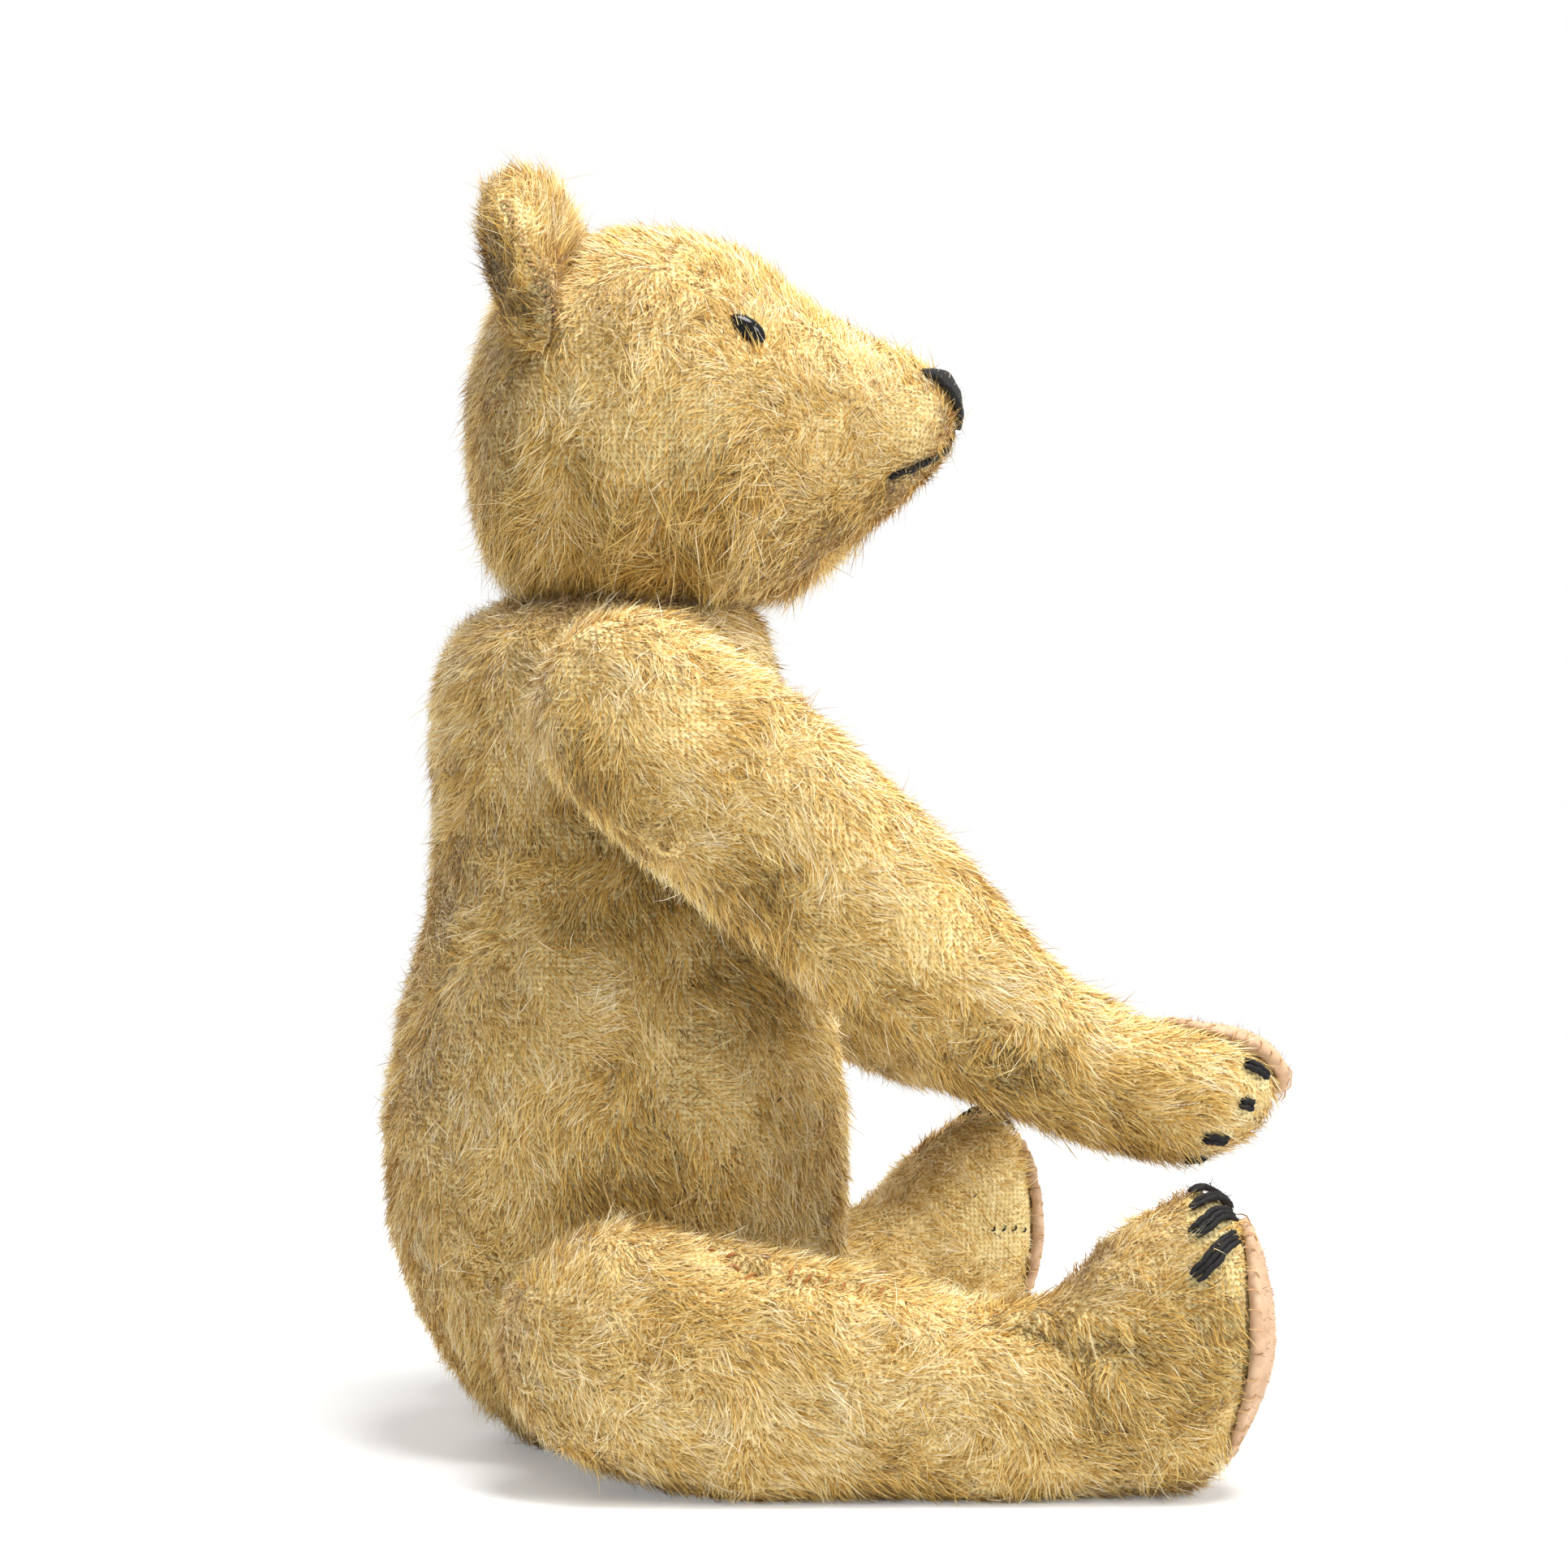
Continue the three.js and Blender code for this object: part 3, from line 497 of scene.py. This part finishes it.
def copied(node, name):
    """A closed copy of a CAD node's mesh, merged, for shaping."""
    made = bpy.data.objects.new(name, frame["nodes"][node].data.copy())
    bpy.context.scene.collection.objects.link(made)
    made.data.materials.clear()
    only(made)
    bpy.ops.object.mode_set(mode="EDIT")
    bpy.ops.mesh.select_all(action="SELECT")
    bpy.ops.mesh.remove_doubles(threshold=2e-5)
    bpy.ops.object.mode_set(mode="OBJECT")
    return made


def without_hollows(obj):
    """Takes out the pockets for discs, washers and pins, and closes the pin holes."""
    form = bmesh.new()
    form.from_mesh(obj.data)
    inside = set()
    for name in JOINTS:
        reach = (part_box(name + "_outer_disc")[1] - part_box(name + "_outer_disc")[0]).length / 2
        place = Vector(JOINTS[name]["pos_m"])
        axis = Vector(JOINTS[name]["axis"])
        for vertex in form.verts:
            offset = vertex.co - place
            depth = abs(offset.dot(axis))
            across = (offset - axis * offset.dot(axis)).length
            if across < reach * 0.76 and 0.0012 < depth < 0.0088:
                inside.add(vertex)
    bmesh.ops.delete(form, geom=list(inside), context="VERTS")
    bmesh.ops.holes_fill(form, edges=[edge for edge in form.edges if edge.is_boundary], sides=0)
    bmesh.ops.recalc_face_normals(form, faces=form.faces)
    form.to_mesh(obj.data)
    form.free()


def corners_of(mesh):
    points = np.empty(len(mesh.vertices) * 3)
    mesh.vertices.foreach_get("co", points)
    return points.reshape(-1, 3) / MM


def normals_of(mesh):
    normals = np.empty(len(mesh.vertices) * 3)
    mesh.vertices.foreach_get("normal", normals)
    return normals.reshape(-1, 3)


def move_corners(mesh, points):
    mesh.vertices.foreach_set("co", (points * MM).ravel())
    mesh.update()


def placed(obj, body, material, replaced=()):
    obj.data.materials.clear()
    obj.data.materials.append(material)
    obj.data.polygons.foreach_set("use_smooth", np.ones(len(obj.data.polygons), bool))
    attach(obj, body)
    if replaced:
        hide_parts(*replaced)
    return obj


SURFACES = {}


def outward(limb):
    """The level direction from a hip towards its sole."""
    sole = np.array(sum(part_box(limb.replace("leg", "foot_pad")), Vector())) / 2 / MM
    hip = 1000 * np.array(JOINTS[limb.replace("leg", "hip")]["pos_m"])
    return unit((sole - hip) * np.array([1, 1, 0])), hip


def tucked(limb, points):
    """Draws the heel of a foot back under it, as the sole slopes; other pieces are left alone."""
    if not limb.startswith("leg"):
        return points
    forward, hip = outward(limb)
    share = smooth_step(HEEL_TOP, 0, points[:, 2]) * smooth_step(*HEEL_REACH, (points - hip) @ forward)
    return points - forward * (HEEL_TUCK * share)[:, None]


def stuffed_skin(part):
    """The woven cover of one stuffed piece: rounded, lumpy, creased, and pressed flat where it rests."""
    skin = copied(part, part + "_cloth")
    without_hollows(skin)
    modified(skin, "REMESH", mode="VOXEL", voxel_size=SKIN_VOXEL * MM)
    modified(skin, "SMOOTH", factor=0.5, iterations=SKIN_SMOOTHING)
    mesh = skin.data
    points = corners_of(mesh)
    sunk = crease_share(part, points)[1]
    rise = LUMP_HEIGHT * lumps(points)[:, 0] - sunk
    points = points + normals_of(mesh) * rise[:, None]
    points = tucked(part, points)
    points[:, 2] = np.maximum(points[:, 2], GROUND_CLEAR)
    move_corners(mesh, points)
    # Each corner's darkening of the cloth, from grime and painted shade.
    soil_and_shade = mesh.attributes.new("soil_and_shade", "FLOAT", "POINT")
    soil_and_shade.data.foreach_set("value", grime_and_shade(part, points))
    lay_weave(mesh, points)
    placed(skin, COVERS[part], BACKING, [part])
    points = corners_of(mesh)
    SURFACES[part] = BVHTree.FromPolygons(points.tolist(), [list(face.vertices) for face in mesh.polygons])
    return skin


def lay_weave(mesh, points):
    """Runs the weave's two directions, in millimetres, along the cloth."""
    corner = np.empty(len(mesh.loops), int)
    mesh.loops.foreach_get("vertex_index", corner)
    sizes = np.empty(len(mesh.polygons), int)
    mesh.polygons.foreach_get("loop_total", sizes)
    facing = np.empty(len(mesh.polygons) * 3)
    mesh.polygons.foreach_get("normal", facing)
    widest = np.repeat(np.abs(facing.reshape(-1, 3)).argmax(axis=1), sizes)
    here = points[corner]
    first = np.where(widest == 0, here[:, 1], here[:, 0])
    second = np.where(widest == 2, here[:, 1], here[:, 2])
    layer = mesh.uv_layers.new(name="Weave")
    layer.data.foreach_set("uv", np.stack([first, second], axis=1).ravel())


def flow(part, points, normals):
    """Which way the pile is brushed at each point."""
    if part == "torso":
        return np.tile(DOWN, (len(points), 1)) + 0.25 * FACING
    if part == "head":
        along = (points - NECK) @ FACING
        front = smooth_step(-4, 17, along)[:, None]
        top = smooth_step(0.35, 0.85, normals[:, 2])[:, None]
        back = -FACING * (0.05 + 0.95 * front) + DOWN * (1.0 - 0.75 * front)
        return back * (1 - top) + (-FACING - 0.2 * DOWN) * top
    if part.startswith("ear"):
        low, high = (np.array(corner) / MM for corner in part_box(part))
        middle = (low + high) / 2
        return unit(points - middle) - 0.9 * DOWN
    side = SIDES[part.split("_")[1]]
    if part.startswith("arm"):
        paw = np.array(sum(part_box(part.replace("arm", "paw_pad")), Vector())) / 2 / MM
        shoulder = 1000 * np.array(JOINTS[part.replace("arm", "shoulder")]["pos_m"])
        return np.tile(unit(paw - shoulder) + 0.3 * DOWN, (len(points), 1))
    return np.tile(outward(part)[0] + 0.45 * DOWN - np.array([0, 0.1 * side, 0]), (len(points), 1))


def scattered(skin, per_mm2, keep):
    """Random places on a skin, thinned by keep(points), with the surface's normal at each."""
    mesh = skin.data
    mesh.calc_loop_triangles()
    corner = np.empty(len(mesh.loop_triangles) * 3, int)
    mesh.loop_triangles.foreach_get("vertices", corner)
    points = corners_of(mesh)[corner.reshape(-1, 3)]
    normals = normals_of(mesh)[corner.reshape(-1, 3)]
    area = np.linalg.norm(np.cross(points[:, 1] - points[:, 0], points[:, 2] - points[:, 0]), axis=1) / 2
    wanted = area * per_mm2 * keep(points.mean(axis=1))
    count = np.floor(wanted + rng.random(len(wanted))).astype(int)
    face = np.repeat(np.arange(len(count)), count)
    first, second = rng.random((2, len(face)))
    folded = first + second > 1
    first, second = np.where(folded, 1 - first, first), np.where(folded, 1 - second, second)
    share = np.stack([1 - first - second, first, second], axis=1)[:, :, None]
    return (points[face] * share).sum(axis=1), unit((normals[face] * share).sum(axis=1))


def clear_of(nodes, distance, points):
    """True where a point is further than the distance from each of these CAD nodes."""
    clear = np.ones(len(points), bool)
    for node in nodes:
        low, high = (np.array(corner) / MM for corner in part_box(node))
        close = ((points > low - distance) & (points < high + distance)).all(axis=1)
        mesh = frame["nodes"][node].data
        tree = BVHTree.FromPolygons([v.co for v in mesh.vertices], [p.vertices for p in mesh.polygons])
        for index in np.flatnonzero(close):
            clear[index] &= tree.find_nearest(Vector(points[index] * MM))[3] > distance * MM
    return clear


def hidden(points):
    """True on the faces that two covers press together round a joint."""
    inside = np.zeros(len(points), bool)
    for name, joint in JOINTS.items():
        low, high = (np.array(corner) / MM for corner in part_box(name + "_outer_disc"))
        offset = points - 1000 * np.array(joint["pos_m"])
        depth = offset @ np.array(joint["axis"])
        across = np.linalg.norm(offset - depth[:, None] * np.array(joint["axis"]), axis=1)
        inside |= (np.abs(depth) < 1.2) & (across < (high - low).max() / 2)
    return inside


CLAWS = range(1, 5)


def trimmings(part):
    """The CAD nodes sewn onto a cover, which the pile keeps clear of."""
    kind, _, side = part.partition("_")
    if kind == "head":
        return ["nose_stitching"]
    if kind == "arm":
        return [f"paw_pad_{side}"] + [f"paw_claw_{side}_{count}" for count in CLAWS]
    if kind == "leg":
        return [f"foot_pad_{side}"] + [f"foot_claw_{side}_{count}" for count in CLAWS]
    return []


def laid_on(part, line, count):
    """Points spaced along a line and brought onto a cover, with the normal and direction at each."""
    corners = np.array(line)
    steps = np.concatenate([[0], np.cumsum(np.linalg.norm(np.diff(corners, axis=0), axis=1))])
    wanted = np.linspace(0, steps[-1], count)
    points = np.stack([np.interp(wanted, steps, corners[:, axis]) for axis in range(3)], axis=1)
    found = [SURFACES[part].find_nearest(point) for point in points]
    points = np.array([place for place, *_ in found])
    return points, np.array([normal for _, normal, *_ in found]), unit(np.gradient(points, axis=0))


def claw_line(node):
    """The middle line of a CAD claw, from end to end."""
    shape = corners_of(frame["nodes"][node].data)
    middle = shape.mean(axis=0)
    along = (shape - middle) @ np.linalg.svd(shape - middle, full_matrices=False)[2][0]
    stops = np.linspace(along.min(), along.max(), CLAW_POINTS)
    share = np.exp(-((along[None] - stops[:, None]) / (0.12 * np.ptp(along))) ** 2)
    return share @ shape / share.sum(axis=1, keepdims=True)


def parted(part, points):
    """True where the pile is clear of the claws sewn on a cover."""
    clear = np.ones(len(points), bool)
    for node in trimmings(part):
        if "claw" in node:
            clear &= away_from(laid_on(part, claw_line(node), CLAW_POINTS)[0], points) > CLAW_PARTING
    return clear


def strand_mesh(name, roots, normals, start, bend, lengths, widths, tints, segments):
    """Tapering strands, each a narrow strip of flat faces that narrows to a point."""
    total = len(roots)
    lengths = lengths[:, None]
    level = unit(np.cross(start, normals))
    roll = rng.uniform(-1.2, 1.2, total)[:, None]
    side = level * np.cos(roll) + np.cross(unit(start), level) * np.sin(roll)
    rows = []
    for step in range(segments):
        share = step / segments
        spine = roots + lengths * (start * share + bend * share * share)
        half = (widths * (1 - 0.6 * share) / 2)[:, None]
        rows += [spine - side * half, spine + side * half]
    rows.append(roots + lengths * (start + bend))
    points = np.stack(rows, axis=1)
    points[:, :, 2] = np.maximum(points[:, :, 2], 0.03)
    per = 2 * segments + 1
    faces = []
    for step in range(segments - 1):
        low = 2 * step
        faces += [(low, low + 1, low + 3), (low, low + 3, low + 2)]
    faces.append((per - 3, per - 2, per - 1))
    faces = np.array(faces)
    index = (np.arange(total)[:, None, None] * per + faces[None]).reshape(-1)
    mesh = bpy.data.meshes.new(name)
    mesh.vertices.add(total * per)
    mesh.vertices.foreach_set("co", (points * MM).ravel())
    mesh.loops.add(len(index))
    mesh.loops.foreach_set("vertex_index", index)
    mesh.polygons.add(len(index) // 3)
    mesh.polygons.foreach_set("loop_start", np.arange(0, len(index), 3))
    across = np.array([-1.0, 1.0] * segments + [0.0]) * 0.008
    along = np.array([step / segments for step in range(segments) for _ in range(2)] + [1.0])
    held = np.clip(tints, 0.02, 0.98)[:, None]
    places = np.stack([held + across[None], np.tile(0.01 + 0.98 * along, (total, 1))], axis=2)
    layer = mesh.uv_layers.new(name="OFBake")
    layer.data.foreach_set("uv", places.reshape(-1, 2)[index].ravel())
    mesh.update(calc_edges=True)
    facing = np.cross(start, side)
    facing *= np.sign((facing * normals).sum(axis=1, keepdims=True) + 1e-9)
    shown = unit(0.55 * normals + 0.45 * unit(facing))
    mesh.polygons.foreach_set("use_smooth", np.ones(len(mesh.polygons), bool))
    mesh.normals_split_custom_set_from_vertices(np.repeat(shown, per, axis=0))
    made = bpy.data.objects.new(name, mesh)
    bpy.context.scene.collection.objects.link(made)
    return made


def brushed(part, points, normals, tangle):
    """The direction along the surface that each strand is brushed in."""
    wanted = unit(flow(part, points, normals)) + tangle * (swirls(points) + 0.8 * tufts(points))
    wanted = wanted + 0.25 * tangle * rng.normal(size=points.shape)
    return unit(wanted - normals * (wanted * normals).sum(axis=1, keepdims=True))


def gathered(points, tips):
    """Where each strand's tip goes as the pile mats: towards the tip of a strand near it."""
    leaders = rng.choice(len(points), max(1, len(points) // CLUMP_SIZE), replace=False)
    tree = KDTree(len(leaders))
    for leader in leaders:
        tree.insert(points[leader], int(leader))
    tree.balance()
    nearest = np.array([tree.find(point)[1] for point in points])
    return tips[nearest]


def grow(part, skin, name, per_mm2, length, width, lift, tangle, pale, segments, thinning):
    """One layer of the pile on one cover."""
    points, normals = scattered(skin, per_mm2, lambda at: 1 - thinning * worn(part, at))
    kept = ~hidden(points) & clear_of(trimmings(part), 0.5, points) & parted(part, points)
    points, normals = points[kept], normals[kept]
    gone = worn(part, points)
    near = crease_share(part, points)[0]
    comb = brushed(part, points, normals, tangle)
    total = len(points)
    lean = np.clip(rng.normal(lift, 0.28, total), 0.08, 1.4)[:, None]
    start = comb * np.cos(lean) + normals * np.sin(lean)
    bend = comb * 0.25 - normals * 0.3 * np.sin(lean) + 0.2 * rng.normal(size=points.shape)
    lengths = length * rng.uniform(0.55, 1.3, total) * (1 - 0.55 * gone) * (1 - 0.7 * near)
    lengths = lengths * (1 + spots(LONG, part, points))
    if segments == 2:
        tips = points + lengths[:, None] * (start + bend)
        bend = bend + CLUMP_PULL * (gathered(points, tips) - tips) / lengths[:, None]
    widths = width * rng.uniform(0.75, 1.25, total)
    tints = pale + 0.22 * tones(points)[:, 0] + rng.normal(0, 0.15, total)
    # Strands darken with grime and painted shade from the listed places, and with painted shade along the
    # creases.
    tints = tints - 0.5 * grime_and_shade(part, points) - 0.4 * near
    made = strand_mesh(f"{part}_{name}", points, normals, start, bend, lengths, widths, tints, segments)
    return placed(made, COVERS[part], MOHAIR)


def furred(part):
    skin = stuffed_skin(part)
    for name, layer in PILE.items():
        grow(part, skin, name, **layer)


for part in COVERS:
    furred(part)


def refined(node, body, voxel, smoothing, material, ripple=0.0, swell=0.0):
    """A finer, rounder copy of a small CAD piece, with an uneven surface."""
    made = copied(node, node + "_worked")
    modified(made, "REMESH", mode="VOXEL", voxel_size=voxel * MM)
    modified(made, "SMOOTH", factor=0.5, iterations=smoothing)
    points = corners_of(made.data)
    points = points + normals_of(made.data) * (swell + ripple * fine_patches(points * 3))
    points = tucked(body, points)
    points[:, 2] = np.maximum(points[:, 2], GROUND_CLEAR)
    move_corners(made.data, points)
    return placed(made, body, material, [node])


def fuzz(piece, body, material, per_mm2, length, width):
    """Loose fibres standing off a piece of felt or thread."""
    points, normals = scattered(piece, per_mm2, lambda at: np.ones(len(at)))
    total = len(points)
    start = unit(0.35 * normals + 0.6 * rng.normal(size=points.shape))
    bend = 0.4 * rng.normal(size=points.shape)
    lengths = length * rng.uniform(0.5, 1.4, total)
    widths = np.full(total, width)
    tints = np.full(total, 0.5)
    made = strand_mesh(piece.name + "_fibres", points, normals, start, bend, lengths, widths, tints, 2)
    return placed(made, body, material)


def threads(name, lines, radius, body, material):
    """Lengths of sewing thread, each a round tube along its points."""
    curve = bpy.data.curves.new(name, "CURVE")
    curve.dimensions = "3D"
    curve.bevel_depth = radius * MM
    curve.bevel_resolution = 2
    curve.use_fill_caps = True
    for line in lines:
        spline = curve.splines.new("POLY")
        spline.points.add(len(line) - 1)
        corners = np.concatenate([np.array(line) * MM, np.ones((len(line), 1))], axis=1)
        spline.points.foreach_set("co", corners.ravel())
        share = np.linspace(-1, 1, len(line))
        spline.points.foreach_set("radius", 1 - 0.5 * np.abs(share) ** 6)
    made = bpy.data.objects.new(name, curve)
    bpy.context.scene.collection.objects.link(made)
    only(made)
    bpy.ops.object.convert(target="MESH")
    return placed(bpy.context.object, body, material)


def seam_stitches(name, part, line, count, length, radius, material):
    """Slanting stitches across a seam, each dipping into the cloth at both ends."""
    points, normals, run = laid_on(part, line, count)
    across = unit(np.cross(normals, run)) + 0.45 * run
    lines = []
    for place, up, reach in zip(points, normals, across):
        spread = length * rng.uniform(0.8, 1.2)
        lines.append([place + reach * spread * share + up * rise for share, rise in STITCH_ARCH])
    return threads(name, lines, radius, COVERS[part], material)


def stitched_claw(node, part, strands):
    """A claw worked in a few strands of thread, laid side by side on the cloth."""
    points, normals, run = laid_on(part, claw_line(node), CLAW_POINTS)
    across = unit(np.cross(normals, run))
    lines = []
    for count in range(strands):
        offset = 1.7 * CLAW_THREAD * (count - (strands - 1) / 2)
        wander = 0.06 * rng.normal(size=(len(points), 1))
        lines.append(points + across * (offset + wander) + normals * CLAW_RISE)
    made = threads(node + "_worked", lines, CLAW_THREAD, COVERS[part], THREAD)
    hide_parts(node)
    fuzz(made, COVERS[part], THREAD, 3.0, 0.9, 0.07)


def pad_stitches(pad, body, count):
    """Whip stitches over the rim of a pad."""
    points = corners_of(pad.data)
    middle = points.mean(axis=0)
    first, second, facing = np.linalg.svd(points - middle, full_matrices=False)[2]
    if facing[0] + facing[2] < 0:
        facing = -facing
    flat = np.stack([(points - middle) @ first, (points - middle) @ second], axis=1)
    turn = np.arctan2(flat[:, 1], flat[:, 0])
    lines = []
    for angle in np.linspace(-np.pi, np.pi, count, endpoint=False) + rng.uniform(-0.04, 0.04, count):
        near = np.abs(np.angle(np.exp(1j * (turn - angle)))) < 0.12
        rim = points[near][np.linalg.norm(flat[near], axis=1).argmax()]
        out = unit(rim - middle)
        lines.append([
            rim - out * 1.3 + facing * 0.35,
            rim - out * 0.5 + facing * 0.6,
            rim + out * 0.15 + facing * 0.3,
            rim + out * 0.35 - facing * 0.3,
            rim + out * 0.2 - facing * 0.9,
        ])
    return threads(pad.name + "_stitches", lines, 0.09, body, PAD_THREAD)


def mirrored(line):
    """The same line on the other side of the head."""
    level = np.array([-FACING[1], FACING[0], 0.0])
    offset = np.array(line) - NECK
    return NECK + offset - 2 * (offset @ level)[:, None] * level


def mouth_line():
    """The mouth: a long stitch from each corner to below the nose, and one up to the nose."""
    lines = []
    for line in (MOUTH, mirrored(MOUTH), LIP):
        points, normals, _ = laid_on("head", line, 16)
        lines.append(points + normals * (0.25 + 0.08 * rng.normal(size=(len(points), 1))))
    made = threads("mouth_thread", lines, 0.46, "head", THREAD)
    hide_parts("mouth_stitching")
    fuzz(made, "head", THREAD, 2.0, 0.7, 0.06)


def button_eye(word):
    """A glossy black button, set slanting and sunk into the pile."""
    place = EYE_PLACE if word == "right" else mirrored([EYE_PLACE])[0]
    bpy.ops.object.select_all(action="DESELECT")
    bpy.ops.mesh.primitive_uv_sphere_add(segments=32, ring_count=16, radius=1)
    eye = bpy.context.object
    eye.name = f"eye_{word}_button"
    bpy.ops.transform.resize(value=[half * MM for half in EYE_HALF])
    bpy.ops.transform.rotate(value=EYE_SLANT, orient_axis="Y", center_override=(0, 0, 0))
    bpy.ops.transform.rotate(value=-HEAD_TURN, orient_axis="Z", center_override=(0, 0, 0))
    bpy.ops.transform.translate(value=list(place * MM))
    bpy.ops.object.transform_apply(location=True, rotation=True, scale=True)
    return placed(eye, "head", BUTTON, [f"eye_{word}"])


refined("nose_stitching", "head", 0.25, 3, THREAD, 0.05)
mouth_line()
for word in SIDES:
    button_eye(word)
    for pad, limb, count in (("paw_pad", "arm", PAW_STITCHES), ("foot_pad", "leg", SOLE_STITCHES)):
        pad, limb = f"{pad}_{word}", f"{limb}_{word}"
        felt = refined(pad, limb, 0.4, 5, FELT, 0.12, 0.2)
        fuzz(felt, limb, FELT, 2.5, 0.7, 0.07)
        pad_stitches(felt, limb, count)
    for count in CLAWS:
        stitched_claw(f"paw_claw_{word}_{count}", f"arm_{word}", 2)
        stitched_claw(f"foot_claw_{word}_{count}", f"leg_{word}", 3 if count < 3 else 2)

seam_stitches("thigh_seam_stitches", "leg_right", THIGH_SEAM[1:], 13, 1.5, 0.18, SEAM_THREAD)
seam_stitches("ear_seam_stitches", "ear_right", EAR_SEAM, 14, 1.2, 0.13, PAD_THREAD)
points, normals, _ = laid_on("arm_right", FLUFF, FLUFF_STRANDS)
fluff = strand_mesh(
    "paw_fluff", points, normals,
    start=unit(DOWN + 0.5 * rng.normal(size=points.shape)),
    bend=0.5 * rng.normal(size=points.shape),
    lengths=rng.uniform(1.0, 2.8, FLUFF_STRANDS),
    widths=np.full(FLUFF_STRANDS, 0.08),
    tints=np.full(FLUFF_STRANDS, 0.97),
    segments=3,
)
placed(fluff, "arm_right", MOHAIR)
for part, place in SPECKS.items():
    point, normal, _ = laid_on(part, [place, np.array(place) + 0.4], 2)
    threads(part + "_speck", [point + 1.2 * normal], 0.16, COVERS[part], THREAD)

seam_stitches("far_foot_darn", "leg_left", FOOT_CRACK, 4, 0.7, 0.12, THREAD)

for name, node in frame["nodes"].items():
    if node.hide_render:
        continue
    node.data.materials.clear()
    node.data.materials.append(CARD if name.endswith("disc") else STEEL)


def lamp(name, place, towards, size, power):
    light = bpy.data.lights.new(name, "AREA")
    light.shape = "DISK"
    light.size = size
    light.energy = power
    made = bpy.data.objects.new(name, light)
    made.location = place
    made.rotation_euler = (Vector(towards) - Vector(place)).to_track_quat("-Z", "Y").to_euler()
    bpy.context.scene.collection.objects.link(made)


FLOOR_SIZE = 6.0
NEAR_FLOOR = 0.1
FAR_FLOOR = 0.45
NEAR_WHITE = 0.25
bpy.ops.object.select_all(action="DESELECT")
bpy.ops.mesh.primitive_plane_add(size=FLOOR_SIZE, location=(0, 0, 0))
floor = bpy.context.object
floor.name = "floor"
paper = Finish("pale_floor")
grain = paper.noise(60.0)
paper.shade(Base_Color=paper.blend(grain, colour(242, 242, 242), colour(248, 248, 248)), Roughness=0.9)
away = paper.node("VectorMath", "Value", {0: paper.node("TexCoord", "Object")}, operation="LENGTH")
far = paper.node("MapRange", 0, {0: away, 1: NEAR_FLOOR, 2: FAR_FLOOR, 3: NEAR_WHITE, 4: 1.0}, clamp=True)
seen = paper.node("LightPath", "Is Camera Ray") + paper.node("LightPath", "Is Glossy Ray")
seen = seen + paper.node("LightPath", "Is Transmission Ray")
white = paper.node("Emission", 0, {"Color": (1, 1, 1, 1), "Strength": 1.0})
lit = Field(paper.tree, paper.shader.outputs[0])
shown = paper.node("MixShader", 0, {0: seen * far, 1: lit, 2: white})
paper.tree.links.new(shown.socket, paper.tree.nodes["Material Output"].inputs["Surface"])
floor.data.materials.append(paper.material)

world = bpy.data.worlds.new("studio")
bpy.context.scene.world = world
world.use_nodes = True
sky = world.node_tree
ray = sky.nodes.new("ShaderNodeLightPath")
seen = Field(sky, ray.outputs["Is Camera Ray"]) + Field(sky, ray.outputs["Is Glossy Ray"])
seen = seen + Field(sky, ray.outputs["Is Transmission Ray"])
AMBIENT = 0.26
backdrop = sky.nodes["Background"]
backdrop.inputs["Color"].default_value = (1, 1, 1, 1)
plug(sky, backdrop.inputs["Strength"], AMBIENT + (1 - AMBIENT) * seen)

lamp("overhead", (0.15, -0.2, 0.9), (0.02, 0, 0.06), 0.5, 13.0)
lamp("key", (0.6, -0.7, 0.6), (0.02, 0, 0.07), 0.4, 6.4)
lamp("rim", (-0.3, 0.6, 0.6), (0.0, 0, 0.08), 0.5, 4.0)

VIEW_TURN = math.radians(-12)
CAMERA_AWAY = 0.4
CAMERA_HEIGHT = 0.076
CAMERA_SIDEWAYS = 0.0195
HALF_VIEW = 0.0914
camera = bpy.data.objects.new("camera", bpy.data.cameras.new("camera"))
bpy.context.scene.collection.objects.link(camera)
across = Vector((math.cos(VIEW_TURN), math.sin(VIEW_TURN), 0))
away = Vector((math.sin(VIEW_TURN), -math.cos(VIEW_TURN), 0))
camera.location = across * CAMERA_SIDEWAYS + away * CAMERA_AWAY + Vector((0, 0, CAMERA_HEIGHT))
camera.rotation_euler = (math.pi / 2, 0, VIEW_TURN)
camera.data.angle = 2 * math.atan(HALF_VIEW / CAMERA_AWAY)
camera.data.clip_start = 0.01
bpy.context.scene.camera = camera
bpy.context.scene.view_settings.view_transform = "Standard"
